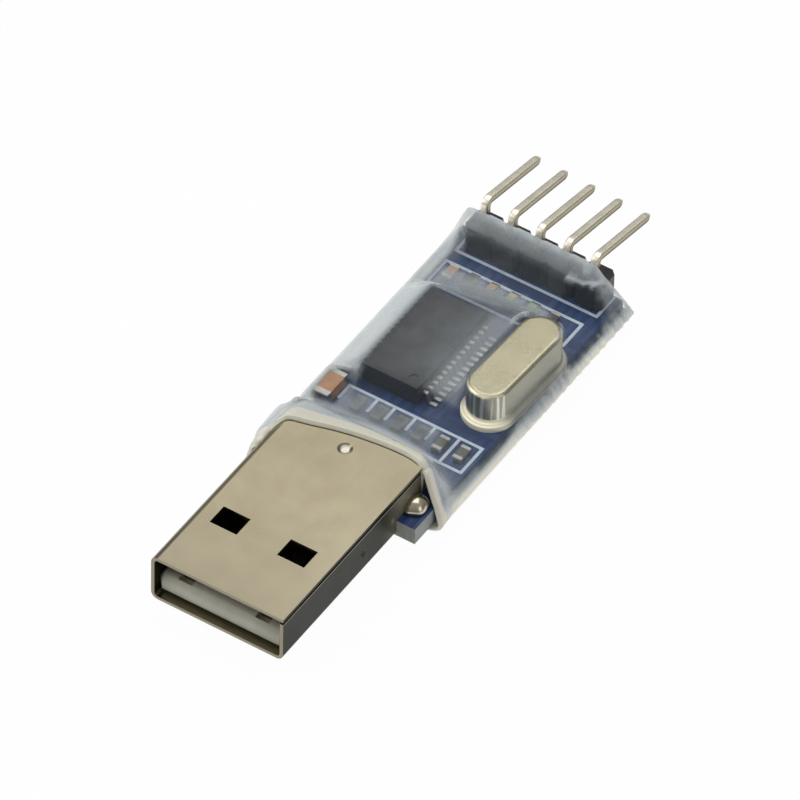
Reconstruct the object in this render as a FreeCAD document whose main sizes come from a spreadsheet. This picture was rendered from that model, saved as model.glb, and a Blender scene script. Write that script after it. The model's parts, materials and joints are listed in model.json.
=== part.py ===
import FreeCAD, Part
import Sketcher
import math
import os
import re

# Plug-in serial adapter module: a plug with a folded shell, a circuit board with a chip,
# a crystal and two rows of small parts, a five-pin header with bent pins, and a clear
# heat-shrunk sleeve over the board. Millimetres. The origin is the middle of the lower
# front edge of the plug; +Y runs back along the module, +X to its right, +Z up.

doc = FreeCAD.newDocument("SerialAdapter")
sheet = doc.addObject("Spreadsheet::Sheet", "Sizes")

sizes = {
    # Fits
    "fitGap": 0.05,
    "seatGap": 0.02,
    # Plug shell, one folded sheet with its seam at the upper right edge
    "plugWidth": 12.0,
    "plugHeight": 4.5,
    "sheetWall": 0.3,
    "foldRadius": 0.62,
    "tubeLength": 15.7,
    "plateOverlap": 4.5,
    "seamDrop": 0.56,
    "windowWidth": 2.45,
    "windowLength": 1.95,
    "windowSetback": 5.4,
    "windowSpacing": 3.68,
    "punchRadius": 0.62,
    "punchDepth": 0.2,
    "punchInset": 2.6,
    "gripRadius": 0.4,
    "gripDepth": 0.13,
    "gripHeight": 2.05,
    "gripSetback": 11.05,
    "gripPitch": 3.95,
    "legWidth": 1.6,
    "legGap": 1.3,
    # Moulded insulator of the plug
    "tongueThickness": 1.95,
    "tongueSetback": 0.5,
    "tongueRound": 0.75,
    "blockSetback": 9.4,
    "blockInset": 0.6,
    # Contacts of the plug
    "contactWidth": 1.0,
    "contactThickness": 0.2,
    "contactPitchInner": 2.0,
    "contactPitchOuter": 7.0,
    "outerSlotSetback": 0.9,
    "innerSlotSetback": 1.9,
    "slotWidth": 1.25,
    "slotDepth": 0.5,
    "contactNose": 0.7,
    "contactTailWidth": 0.5,
    "contactTailReach": 0.8,
    "contactHoleRadius": 0.42,
    "contactTailDrop": 0.35,
    # Circuit board
    "boardLeftMargin": 1.15,
    "boardRightMargin": 1.65,
    "boardRearMargin": 1.08,
    "boardThickness": 1.6,
    # Chip in a wide flat package with fourteen leads along each long side
    "chipCentreX": -1.95,
    "chipGap": 1.7,
    "chipWidth": 5.3,
    "chipLength": 10.2,
    "chipThickness": 1.75,
    "chipStandoff": 0.1,
    "chipDraft": 8.0,
    "leadPitch": 0.65,
    "leadWidth": 0.3,
    "leadThickness": 0.15,
    "leadShoulder": 0.42,
    "leadFoot": 0.62,
    "leadSpan": 7.8,
    "markRadius": 0.4,
    "markDepth": 0.1,
    "markInset": 1.0,
    # Crystal in a flat-sided metal can
    "crystalCentreX": 5.72,
    "crystalOffset": 0.85,
    "crystalTurn": -2.5,
    "canLength": 10.3,
    "canWidth": 3.7,
    "canTop": 5.15,
    "canRimCut": 0.45,
    "canWall": 0.25,
    "flangeLength": 11.05,
    "flangeWidth": 4.5,
    "flangeThickness": 0.28,
    "flangeEdge": 0.1,
    "crystalBaseThickness": 0.3,
    "crystalLeadPitch": 4.88,
    "crystalLeadRadius": 0.21,
    "crystalHoleRadius": 0.4,
    "crystalLeadDrop": 0.35,
    "crystalLeadRise": 0.8,
    "quartzLength": 8.0,
    "quartzWidth": 1.8,
    "quartzThickness": 0.2,
    # Header strip and its pins
    "headerCentreX": 0.57,
    "headerGap": 2.05,
    "headerPitch": 2.54,
    "headerWidth": 2.54,
    "headerHeight": 2.54,
    "headerNotch": 0.42,
    "pinWidth": 0.64,
    "pinRise": 2.05,
    "pinRiseStep": 0.15,
    "pinBendRadius": 0.75,
    "pinReach": 7.45,
    "pinDroop": 9.0,
    "pinTail": 0.55,
    "pinTipRound": 0.26,
    "pinHoleRadius": 0.5,
    # Large capacitor in the front row
    "bigCapX": -5.82,
    "bigCapOffset": 0.15,
    "bigCapLength": 2.9,
    "bigCapWidth": 1.5,
    "bigCapHeight": 1.15,
    "bigCapEnd": 0.5,
    # Small parts in the front and rear rows
    "smallLength": 1.6,
    "smallWidth": 0.82,
    "smallHeight": 0.5,
    "smallEnd": 0.34,
    "endEdge": 0.07,
    "frontRowGap": 3.25,
    "frontRowX": -3.15,
    "frontRowPitch": 1.91,
    "rearRowGap": 2.55,
    "rearRowX": -4.95,
    "rearRowPitch": 1.87,
    "lampLensHeight": 0.28,
    "lampLensLength": 0.86,
    # Solder
    "solderHeight": 0.5,
    "solderRadius": 0.85,
    "solderTipRadius": 0.42,
    "smallSolderShare": 0.75,
    "legSolderRadius": 1.0,
    "legSolderTipRadius": 0.35,
    "legSolderHeight": 1.05,
    # Heat-shrunk sleeve
    "sleeveWall": 0.26,
    "sleeveLip": 0.38,
    "sleeveSideSlack": 0.3,
    "sleeveFrontLeft": 14.8,
    "sleeveFrontPeak": 19.45,
    "sleeveFrontPeakX": 1.0,
    "sleeveFrontRight": 18.2,
    "sleeveFilmEdge": 0.9,
    "sleeveFallStart": 0.6,
    "sleeveFallShare": 0.2,
    "sleeveFoldGap": 0.6,
    "sleeveTrim": 1.4,
    "sleevePinRise": 1.0,
    "sleeveRearLap": 0.75,
}

# Places that follow from the sizes, in order along the module
derived = {
    "plateLength": "tubeLength + plateOverlap",
    "boardFront": "tubeLength + fitGap",
    "boardLeft": "plugWidth / 2 + boardLeftMargin",
    "boardRight": "plugWidth / 2 + boardRightMargin",
    "legSetback": "tubeLength + legGap",
    "punchSetback": "plateLength - punchInset",
    "blockEnd": "plateLength - blockInset",
    "contactTailSetback": "plateLength + contactTailReach",
    "frontRowY": "plateLength + frontRowGap + smallLength / 2",
    "bigCapY": "frontRowY + bigCapOffset",
    "chipSetback": "frontRowY + smallLength / 2 + chipGap",
    "chipEnd": "chipSetback + chipLength",
    "crystalCentreY": "chipSetback + chipLength / 2 + crystalOffset",
    "rearRowY": "chipEnd + rearRowGap + smallLength / 2",
    "headerCentreY": "rearRowY + smallLength / 2 + headerGap + headerWidth / 2",
    "sleeveStart": "sleeveFrontLeft - sleeveTrim",
    "boardRear": "headerCentreY + boardRearMargin",
    "sleeveEnd": "boardRear + sleeveRearLap + sleeveTrim",
    "plateSeat": "boardThickness + fitGap",
    "tongueTop": "sheetWall + fitGap + tongueThickness",
}

for row, (alias, value) in enumerate(sizes.items(), start=1):
    sheet.set("A" + str(row), alias)
    sheet.set("B" + str(row), str(value))
    sheet.setAlias("B" + str(row), alias)
doc.recompute()


# Turns a formula written with the words of both lists into an expression of the sheet
def formula(text):
    return re.sub(r"[A-Za-z]\w*", lambda found: spelled(found.group()), text)


def spelled(word):
    if word in derived:
        return "(" + formula(derived[word]) + ")"
    return "Sizes." + word if word in sizes else word


# Value of a word or formula
def size(text):
    return float(sheet.evalExpression(formula(text).replace("Sizes.", "")))


def bind(thing, field, text):
    thing.setExpression(field, formula(text))


def place(thing, corner):
    for axis, text in zip("xyz", corner):
        bind(thing, "Placement.Base." + axis, text)


# Block given by its three sizes and its lowest corner
def block(name, sides, corner):
    thing = doc.addObject("Part::Box", name)
    for field, text in zip(("Length", "Width", "Height"), sides):
        bind(thing, field, text)
    place(thing, corner)
    return thing


# Upright round bar given by its radius, height and foot
# Many-sided bore, hidden under the lead and the solder that fill it
def bore(name, radius, height, foot):
    thing = doc.addObject("Part::Prism", name)
    thing.Polygon = solderSides
    bind(thing, "Circumradius", radius)
    bind(thing, "Height", height)
    place(thing, foot)
    return thing


def joined(name, pieces):
    thing = doc.addObject("Part::MultiFuse", name)
    thing.Shapes = pieces
    return thing


def cutAway(name, base, tool):
    thing = doc.addObject("Part::Cut", name)
    thing.Base = base
    thing.Tool = tool
    return thing


def numbersOf(edges, shape):
    return [i for i, edge in enumerate(shape.Edges, start=1) if edges(edge)]


# Rounds ("Fillet") or cuts off ("Chamfer") the edges of a piece that the test picks
def eased(kind, name, base, reach, picks):
    doc.recompute()
    thing = doc.addObject("Part::" + kind, name)
    thing.Base = base
    thing.Edges = [(i, size(reach), size(reach)) for i in numbersOf(picks, base.Shape)]
    return thing


def along(edge, direction):
    if len(edge.Vertexes) < 2:
        return False
    step = edge.Vertexes[1].Point - edge.Vertexes[0].Point
    return step.Length > 0 and abs(abs(step.dot(direction)) - step.Length) < 1e-6


def level(edge, axis, value, slack=1e-4):
    return all(abs(getattr(vertex.Point, axis) - value) < slack for vertex in edge.Vertexes)


pinCount = 5
leadCount = 14
# Small parts of the two rows, from the left
rowNames = {
    "front": ["resistor_1", "resistor_2", "resistor_3", "resistor_4", "capacitor_1", "capacitor_2"],
    "rear": ["capacitor_3", "resistor_5", "indicator_lamp_1", "indicator_lamp_2", "indicator_lamp_3",
             "resistor_6"]}
solderSides = 12
axisX = FreeCAD.Vector(1, 0, 0)
axisY = FreeCAD.Vector(0, 1, 0)
axisZ = FreeCAD.Vector(0, 0, 1)
nodes = []


# Names a finished piece, which makes it a file of its own
def node(name, thing):
    thing.Label = name
    nodes.append(thing)
    return thing


# A piece whose shape is worked out from the sheet's values
def formed(name, shape, base=(0, 0, 0), turn=0.0):
    thing = doc.addObject("Part::Feature", name)
    thing.Shape = shape
    thing.Placement = FreeCAD.Placement(FreeCAD.Vector(*base), FreeCAD.Rotation(axisZ, turn))
    return node(name, thing)


def originPlane(body, role):
    return next(item for item in body.Origin.OriginFeatures if item.Role == role)


# Closed outline of straight lines whose corners are held by formulas of the sheet
def outline(body, name, plane, corners):
    sketch = body.newObject("Sketcher::SketchObject", name)
    sketch.AttachmentSupport = [(originPlane(body, plane), "")]
    sketch.MapMode = "FlatFace"
    addLoop(sketch, corners)
    return sketch


def addLoop(sketch, corners):
    first = sketch.GeometryCount
    values = [[size(text) for text in corner] for corner in corners]
    for here, there in zip(values, values[1:] + values[:1]):
        sketch.addGeometry(Part.LineSegment(FreeCAD.Vector(*here, 0), FreeCAD.Vector(*there, 0)))
    for i, corner in enumerate(corners):
        line = first + i
        before = first + (i - 1) % len(corners)
        sketch.addConstraint(Sketcher.Constraint("Coincident", before, 2, line, 1))
        for kind, text in zip(("DistanceX", "DistanceY"), corner):
            value = size(text)
            held = sketch.addConstraint(Sketcher.Constraint(kind, -1, 1, line, 1, value))
            sketch.setExpression("Constraints[" + str(held) + "]", formula(text))


# Plug shell
def makeShell():
    body = doc.addObject("PartDesign::Body", "usb_shell")
    half = "plugWidth / 2"
    section = outline(body, "ShellSection", "XZ_Plane", [
        (half, "plugHeight"),
        ("-" + half, "plugHeight"),
        ("-" + half, "0"),
        (half, "0"),
        (half, "plugHeight - seamDrop"),
        (half + " - sheetWall", "plugHeight - seamDrop"),
        (half + " - sheetWall", "sheetWall"),
        ("sheetWall - " + half, "sheetWall"),
        ("sheetWall - " + half, "plugHeight - sheetWall"),
        (half, "plugHeight - sheetWall")])
    tube = body.newObject("PartDesign::Pad", "ShellTube")
    tube.Profile = section
    bind(tube, "Length", "plateLength")
    tube.Reversed = True
    doc.recompute()
    x = size("plugWidth") / 2
    z = size("plugHeight")
    wall = size("sheetWall")
    folds = {(-x, z), (-x, 0.0), (x, 0.0)}
    creases = {(wall - x, z - wall), (wall - x, wall), (x - wall, wall)}

    def fold(name, base, radius, spots):
        bend = body.newObject("PartDesign::Fillet", name)
        wanted = numbersOf(lambda edge: along(edge, axisY) and any(
            level(edge, "x", spot[0]) and level(edge, "z", spot[1]) for spot in spots), base.Shape)
        bend.Base = (base, ["Edge" + str(i) for i in wanted])
        bind(bend, "Radius", radius)
        doc.recompute()
        return bend

    outer = fold("OuterFolds", tube, "foldRadius", folds)
    fold("InnerFolds", outer, "foldRadius - sheetWall", creases)

    # The lower part stops at the board, and a leg on each side reaches through it
    spare = "1"
    legEnd = "legSetback + legWidth"
    undercut = outline(body, "BoardRelief", "YZ_Plane", [
        ("tubeLength", "-" + spare), ("legSetback", "-" + spare),
        ("legSetback", "plateSeat"), ("tubeLength", "plateSeat")])
    addLoop(undercut, [
        (legEnd, "-" + spare), ("plateLength + " + spare, "-" + spare),
        ("plateLength + " + spare, "plateSeat"), (legEnd, "plateSeat")])
    relief = body.newObject("PartDesign::Pocket", "ShellRelief")
    relief.Profile = undercut
    relief.Type = "ThroughAll"
    relief.Midplane = True
    inner = half + " - sheetWall"
    floor = outline(body, "FloorRelief", "XY_Plane", [
        ("-(" + inner + ")", "tubeLength"), (inner, "tubeLength"),
        (inner, "plateLength + " + spare), ("-(" + inner + ")", "plateLength + " + spare)])
    clear = body.newObject("PartDesign::Pocket", "ShellFloor")
    clear.Profile = floor
    bind(clear, "Length", "plateSeat")
    clear.Reversed = True

    # Two latch windows through the top and the underside
    near = "windowSpacing / 2"
    far = "(windowSpacing / 2 + windowWidth)"
    back = "windowSetback + windowLength"
    windows = outline(body, "WindowOutlines", "XY_Plane", [
        (near, "windowSetback"), (far, "windowSetback"), (far, back), (near, back)])
    addLoop(windows, [
        ("-" + far, "windowSetback"), ("-" + near, "windowSetback"),
        ("-" + near, back), ("-" + far, back)])
    holes = body.newObject("PartDesign::Pocket", "Windows")
    holes.Profile = windows
    holes.Type = "ThroughAll"
    holes.Midplane = True

    # Punched mark in the top plate, and two grip dents in the right wall
    def dent(name, radius, depth, foot, tilt=None):
        pit = body.newObject("PartDesign::SubtractiveCone", name)
        bind(pit, "Radius1", radius + " / 2")
        bind(pit, "Radius2", radius)
        bind(pit, "Height", depth)
        if tilt:
            pit.Placement = FreeCAD.Placement(FreeCAD.Vector(), tilt)
        place(pit, foot)

    dent("PunchMark", "punchRadius", "punchDepth", ("0", "punchSetback", "plugHeight - punchDepth"))
    outwards = FreeCAD.Rotation(axisY, 90)
    for i in range(2):
        dent("GripDent" + str(i + 1), "gripRadius", "gripDepth",
             (half + " - gripDepth", "gripSetback + " + str(i) + " * gripPitch", "gripHeight"), outwards)
    return node("usb_shell", body)


def makeInsulator():
    wide = "(plugWidth - 2 * sheetWall - 2 * fitGap)"
    left = "-" + wide + " / 2"
    seat = "sheetWall + fitGap"
    tongue = block("Tongue", (wide, "tubeLength - tongueSetback", "tongueThickness"),
                   (left, "tongueSetback", seat))
    nose = eased("Fillet", "TongueNose", tongue, "tongueRound", lambda edge: along(edge, axisX)
                 and level(edge, "y", size("tongueSetback")))
    high = "(plugHeight - 2 * sheetWall - 2 * fitGap)"
    front = block("BlockFront", (wide, "tubeLength - blockSetback", high), (left, "blockSetback", seat))
    rear = block("BlockRear", (wide, "blockEnd - tubeLength", "plugHeight - sheetWall - fitGap - plateSeat"),
                 (left, "tubeLength", "plateSeat"))
    whole = joined("InsulatorBlank", [nose, front, rear])
    corners = eased("Chamfer", "InsulatorCorners", whole, "sheetWall", lambda edge: along(edge, axisY) and (
        level(edge, "z", size(seat)) or level(edge, "z", size("plugHeight - sheetWall - fitGap")))
        and edge.Length > 1)
    slots = []
    for i, (across, setback) in enumerate(contactPlaces(), start=1):
        floor = "tongueTop - slotDepth"
        slots.append(block("ContactSlot" + str(i),
                           ("slotWidth", "blockSetback - " + setback, "slotDepth + fitGap"),
                           (across + " - slotWidth / 2", setback, floor)))
        slots.append(block("ContactBore" + str(i),
                           ("contactWidth + 2 * fitGap", "blockEnd", "contactThickness + 2 * fitGap"),
                           (across + " - contactWidth / 2 - fitGap", setback, floor)))
    return node("usb_insulator", cutAway("InsulatorSlots", corners, joined("ContactSlots", slots)))


# Middle of each contact across the plug, and how far its slot is set back
def contactPlaces():
    return [("-contactPitchOuter / 2", "outerSlotSetback"),
            ("-contactPitchInner / 2", "innerSlotSetback"),
            ("contactPitchInner / 2", "innerSlotSetback"),
            ("contactPitchOuter / 2", "outerSlotSetback")]


def makeContacts():
    for i, (across, setback) in enumerate(contactPlaces(), start=1):
        low = "(tongueTop - slotDepth + fitGap)"
        nose = "(" + setback + " + contactNose)"
        blade = block("Blade" + str(i), ("contactWidth", "contactTailSetback - " + nose, "contactThickness"),
                      (across + " - contactWidth / 2", nose, low))
        tail = block("Tail" + str(i), ("contactTailWidth", "contactThickness",
                                       low + " + contactThickness + contactTailDrop"),
                     (across + " - contactTailWidth / 2", "contactTailSetback - contactThickness",
                      "-contactTailDrop"))
        node("usb_contact_" + str(i), joined("Contact" + str(i), [blade, tail]))


def pinPlace(i):
    return "headerCentreX + " + str(i - (pinCount - 1) / 2) + " * headerPitch"


def crystalLeadPlaces():
    turn = math.radians(size("crystalTurn"))
    reach = size("crystalLeadPitch") / 2
    return [(size("crystalCentreX") - side * reach * math.sin(turn),
             size("crystalCentreY") + side * reach * math.cos(turn)) for side in (-1, 1)]


def makeBoard():
    blank = block("BoardBlank", ("boardLeft + boardRight", "boardRear - boardFront", "boardThickness"),
                  ("-boardLeft", "boardFront", "0"))
    spare = "1"
    tall = "boardThickness + 2 * " + spare
    holes = []
    for side, across in (("Left", "-plugWidth / 2 - fitGap"),
                         ("Right", "plugWidth / 2 - sheetWall - fitGap")):
        holes.append(block("LegSlot" + side, ("sheetWall + 2 * fitGap", "legWidth + 2 * fitGap", tall),
                           (across, "legSetback - fitGap", "-" + spare)))
    for i in range(pinCount):
        holes.append(bore("PinHole" + str(i + 1), "pinHoleRadius", tall,
                          (pinPlace(i), "headerCentreY", "-" + spare)))
    for i, (across, setback) in enumerate(contactPlaces(), start=1):
        holes.append(bore("TailHole" + str(i), "contactHoleRadius", tall,
                          (across, "contactTailSetback - contactThickness / 2", "-" + spare)))
    for i, (x, y) in enumerate(crystalLeadPlaces(), start=1):
        holes.append(bore("CrystalHole" + str(i), "crystalHoleRadius", tall, (str(x), str(y), "-" + spare)))
    return node("circuit_board", cutAway("Board", blank, joined("BoardHoles", holes)))


# Chip body, drafted up and down from the plane of its leads
def makeChip():
    body = doc.addObject("PartDesign::Body", "chip_body")
    half = "chipWidth / 2"
    for name, up in (("Upper", True), ("Lower", False)):
        sketch = outline(body, name + "Outline", "XY_Plane", [
            ("chipCentreX - " + half, "chipSetback"), ("chipCentreX + " + half, "chipSetback"),
            ("chipCentreX + " + half, "chipEnd"), ("chipCentreX - " + half, "chipEnd")])
        bind(sketch, "AttachmentOffset.Base.z", "boardThickness + chipStandoff + chipThickness / 2")
        part = body.newObject("PartDesign::Pad", name + "Half")
        part.Profile = sketch
        bind(part, "Length", "chipThickness / 2")
        part.Reversed = not up
        bind(part, "TaperAngle", "-chipDraft")
    spot = body.newObject("Sketcher::SketchObject", "FirstLeadCircle")
    spot.AttachmentSupport = [(originPlane(body, "XY_Plane"), "")]
    spot.MapMode = "FlatFace"
    bind(spot, "AttachmentOffset.Base.z", "boardThickness + chipStandoff + chipThickness")
    across = "chipCentreX + " + half + " - markInset"
    up = "chipSetback + markInset"
    ring = spot.addGeometry(Part.Circle(FreeCAD.Vector(size(across), size(up), 0),
                                        axisZ, size("markRadius")))
    for kind, text in (("DistanceX", across), ("DistanceY", up)):
        held = spot.addConstraint(Sketcher.Constraint(kind, -1, 1, ring, 3, size(text)))
        spot.setExpression("Constraints[" + str(held) + "]", formula(text))
    held = spot.addConstraint(Sketcher.Constraint("Radius", ring, size("markRadius")))
    spot.setExpression("Constraints[" + str(held) + "]", formula("markRadius"))
    pit = body.newObject("PartDesign::Pocket", "FirstLeadMark")
    pit.Profile = spot
    bind(pit, "Length", "markDepth")
    return node("chip_body", body)


# Gull-wing lead: out of the body, down past its side, and flat on the board
def leadShape(side):
    edge = size("chipWidth") / 2
    tip = size("leadSpan") / 2
    thick = size("leadThickness")
    middle = size("chipStandoff") + size("chipThickness") / 2
    shoulder = edge + size("leadShoulder")
    heel = tip - size("leadFoot")
    points = [(edge, middle - thick / 2), (edge, middle + thick / 2), (shoulder, middle + thick / 2),
              (heel, thick), (tip, thick), (tip, 0), (heel - thick / 2, 0),
              (shoulder - thick, middle - thick / 2)]
    corners = [FreeCAD.Vector(side * x, 0, z) for x, z in points]
    face = Part.Face(Part.makePolygon(corners + corners[:1]))
    return face.extrude(FreeCAD.Vector(0, size("leadWidth"), 0))


def makeChipLeads():
    middle = size("chipSetback") + size("chipLength") / 2
    first = middle - (leadCount - 1) / 2 * size("leadPitch") - size("leadWidth") / 2
    seat = size("boardThickness") + size("seatGap")
    for name, side in (("chip_leads_left", -1), ("chip_leads_right", 1)):
        one = leadShape(side)
        row = [one.translated(FreeCAD.Vector(0, i * size("leadPitch"), 0)) for i in range(leadCount)]
        formed(name, Part.makeCompound(row), (size("chipCentreX"), first, seat))


# Upright prism with two straight sides and two half-round ends, long along Y
def stadium(length, width, height):
    r = width / 2
    run = length / 2 - r
    corners = [FreeCAD.Vector(r, -run, 0), FreeCAD.Vector(r, run, 0),
               FreeCAD.Vector(-r, run, 0), FreeCAD.Vector(-r, -run, 0)]
    edges = [Part.LineSegment(corners[0], corners[1]).toShape(),
             Part.Arc(corners[1], FreeCAD.Vector(0, run + r, 0), corners[2]).toShape(),
             Part.LineSegment(corners[2], corners[3]).toShape(),
             Part.Arc(corners[3], FreeCAD.Vector(0, -run - r, 0), corners[0]).toShape()]
    return Part.Face(Part.Wire(edges)).extrude(FreeCAD.Vector(0, 0, height))


# Hollow can with a flange on a base, and the quartz strip that its two leads carry inside
def makeCrystal():
    spot = (size("crystalCentreX"), size("crystalCentreY"))
    turn = size("crystalTurn")
    baseLow = size("boardThickness") + size("seatGap")
    flangeLow = baseLow + size("crystalBaseThickness")
    drop = size("crystalLeadDrop")
    leadTop = flangeLow + size("crystalLeadRise")
    ends = [FreeCAD.Vector(0, side * size("crystalLeadPitch") / 2, 0) for side in (-1, 1)]
    leads = [Part.makeCylinder(size("crystalLeadRadius"), leadTop + drop, end) for end in ends]
    formed("crystal_leads", Part.makeCompound(leads), spot + (-drop,), turn)
    base = stadium(size("flangeLength"), size("flangeWidth"), size("crystalBaseThickness"))
    for end in ends:
        base = base.cut(Part.makeCylinder(size("crystalLeadRadius") + size("seatGap"), flangeLow, end))
    formed("crystal_base", base, spot + (baseLow,), turn)

    tall = size("canTop") - flangeLow
    wall = size("canWall")
    can = stadium(size("canLength"), size("canWidth"), tall)
    can = can.makeChamfer(size("canRimCut"), [edge for edge in can.Edges if level(edge, "z", tall)])
    flange = stadium(size("flangeLength"), size("flangeWidth"), size("flangeThickness"))
    flangeTop = [edge for edge in flange.Edges if level(edge, "z", size("flangeThickness"))]
    flange = flange.makeChamfer(size("flangeEdge"), flangeTop)
    hollow = stadium(size("canLength") - 2 * wall, size("canWidth") - 2 * wall, tall - wall)
    formed("crystal_can", can.fuse(flange).cut(hollow).removeSplitter(), spot + (flangeLow,), turn)
    strip = Part.makeBox(size("quartzWidth"), size("quartzLength"), size("quartzThickness"),
                         FreeCAD.Vector(-size("quartzWidth") / 2, -size("quartzLength") / 2, 0))
    formed("quartz_strip", strip, spot + (leadTop + size("seatGap"),), turn)


# Strip of five block units, each with its upright corners cut off
def makeHeader():
    count = pinCount
    pitch = size("headerPitch")
    notch = size("headerNotch")
    deep = size("headerWidth") / 2
    side = []
    for i in range(count):
        middle = (i - (count - 1) / 2) * pitch
        side += [(middle - pitch / 2, deep - notch), (middle - pitch / 2 + notch, deep),
                 (middle + pitch / 2 - notch, deep)]
    side.append((count * pitch / 2, deep - notch))
    points = side + [(-x, -y) for x, y in side]
    corners = [FreeCAD.Vector(x, y, 0) for x, y in points]
    upwards = FreeCAD.Vector(0, 0, size("headerHeight"))
    strip = Part.Face(Part.makePolygon(corners + corners[:1])).extrude(upwards)
    bore = size("pinWidth") + 2 * size("seatGap")
    for i in range(count):
        corner = FreeCAD.Vector((i - (count - 1) / 2) * pitch - bore / 2, -bore / 2, 0)
        strip = strip.cut(Part.makeBox(bore, bore, size("headerHeight"), corner))
    formed("header_housing", strip, (size("headerCentreX"), size("headerCentreY"),
                                     size("boardThickness") + size("seatGap")))


# Square pin: up through its housing, round a bend and out past the end of the board. The row
# stands a little higher at its left end.
def pinShape(i):
    half = size("pinWidth") / 2
    radius = size("pinBendRadius")
    droop = math.radians(size("pinDroop"))
    foot = -size("pinTail")
    rise = size("pinRise") + ((pinCount - 1) / 2 - i) * size("pinRiseStep")
    bend = size("boardThickness") + size("headerHeight") + rise - radius
    turn = math.pi / 2 + droop

    def onArc(distance, angle):
        return FreeCAD.Vector(0, radius - distance * math.cos(angle), bend + distance * math.sin(angle))

    ahead = FreeCAD.Vector(0, math.cos(droop), -math.sin(droop))
    run = size("pinReach") - radius
    outer = radius + half
    inner = radius - half
    a = FreeCAD.Vector(0, -half, foot)
    b = FreeCAD.Vector(0, half, foot)
    edges = [Part.LineSegment(b, a), Part.LineSegment(a, onArc(outer, 0)),
             Part.Arc(onArc(outer, 0), onArc(outer, turn / 2), onArc(outer, turn)),
             Part.LineSegment(onArc(outer, turn), onArc(outer, turn) + ahead * run),
             Part.LineSegment(onArc(outer, turn) + ahead * run, onArc(inner, turn) + ahead * run),
             Part.LineSegment(onArc(inner, turn) + ahead * run, onArc(inner, turn)),
             Part.Arc(onArc(inner, turn), onArc(inner, turn / 2), onArc(inner, 0)),
             Part.LineSegment(onArc(inner, 0), b)]
    face = Part.Face(Part.Wire([edge.toShape() for edge in edges]))
    pin = face.extrude(FreeCAD.Vector(size("pinWidth"), 0, 0)).translated(FreeCAD.Vector(-half, 0, 0))
    end = onArc(radius, turn) + ahead * run
    tip = [edge for edge in pin.Edges if all(abs((vertex.Point - end).dot(ahead)) < 1e-5
                                             for vertex in edge.Vertexes)]
    return pin.makeFillet(size("pinTipRound"), tip)


def makePins():
    for i in range(pinCount):
        formed("header_pin_" + str(i + 1), pinShape(i), (size(pinPlace(i)), size("headerCentreY"), 0))


# Small part: a ceramic body between two metal ends, long along Y, and its lens if it is a lamp
def smallBody(length, width, height, end, lens=False):
    inset = size("seatGap")
    body = Part.makeBox(width - 2 * inset, length - 2 * end, height - 2 * inset,
                        FreeCAD.Vector(inset - width / 2, end - length / 2, inset))
    if not lens:
        return body
    bodyTop = height - inset
    dome = Part.makeBox(width - 2 * inset, size("lampLensLength"), size("lampLensHeight"),
                        FreeCAD.Vector(inset - width / 2, -size("lampLensLength") / 2, bodyTop))
    corners = [edge for edge in dome.Edges if level(edge, "z", bodyTop + size("lampLensHeight"))]
    return body.fuse(dome.makeFillet(size("lampLensHeight") / 2, corners)).removeSplitter()


def smallEnds(length, width, height, end):
    ends = []
    for side in (-1, 1):
        low = -length / 2 if side < 0 else length / 2 - end
        cap = Part.makeBox(width, end, height, FreeCAD.Vector(-width / 2, low, 0))
        outer = side * length / 2
        ends.append(cap.makeChamfer(size("endEdge"), [edge for edge in cap.Edges if level(edge, "y", outer)]))
    return ends


def makeSmallParts():
    seat = size("boardThickness") + size("seatGap")
    big = [size("bigCap" + word) for word in ("Length", "Width", "Height", "End")]
    spot = (size("bigCapX"), size("bigCapY"), seat)
    formed("big_capacitor_body", smallBody(*big), spot)
    formed("big_capacitor_ends", Part.makeCompound(smallEnds(*big)), spot)
    small = [size("small" + word) for word in ("Length", "Width", "Height", "End")]
    for row, names in rowNames.items():
        ends = []
        for i, name in enumerate(names):
            x = size(row + "RowX") + i * size(row + "RowPitch")
            y = size(row + "RowY")
            formed(name, smallBody(*small, lens=name.startswith("indicator")), (x, y, seat))
            ends += [end.translated(FreeCAD.Vector(x, y, 0)) for end in smallEnds(*small)]
        formed(row + "_row_ends", Part.makeCompound(ends), (0, 0, seat))


# Closed solid through rings of the same number of corners: one face where four corners lie
# in a plane, else two
def skinned(rings):
    faces = [Part.Face(Part.makePolygon(ring + ring[:1])) for ring in (rings[0], rings[-1])]
    for before, after in zip(rings, rings[1:]):
        for i in range(len(before)):
            corners = [before[i - 1], before[i], after[i], after[i - 1]]
            across = (corners[1] - corners[0]).cross(corners[3] - corners[0]).normalize()
            if abs(across.dot(corners[2] - corners[0])) < 1e-7:
                loops = [corners]
            else:
                loops = [corners[:3], [corners[0]] + corners[2:]]
            faces += [Part.Face(Part.makePolygon(loop + loop[:1])) for loop in loops]
    solid = Part.makeSolid(Part.makeShell(faces))
    if solid.Volume < 0:
        solid.reverse()
    return solid


# Many-sided cone of solder under the board, round what it holds
def solderUnder(x, y, held):
    rings = []
    for radius, z in (("solderRadius", 0), ("solderTipRadius", -size("solderHeight"))):
        turns = [2 * math.pi * (i + 0.5) / solderSides for i in range(solderSides)]
        rings.append([FreeCAD.Vector(x + size(radius) * held * math.cos(turn),
                                     y + size(radius) * held * math.sin(turn),
                                     z - size("seatGap")) for turn in turns])
    return skinned(rings)


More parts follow.
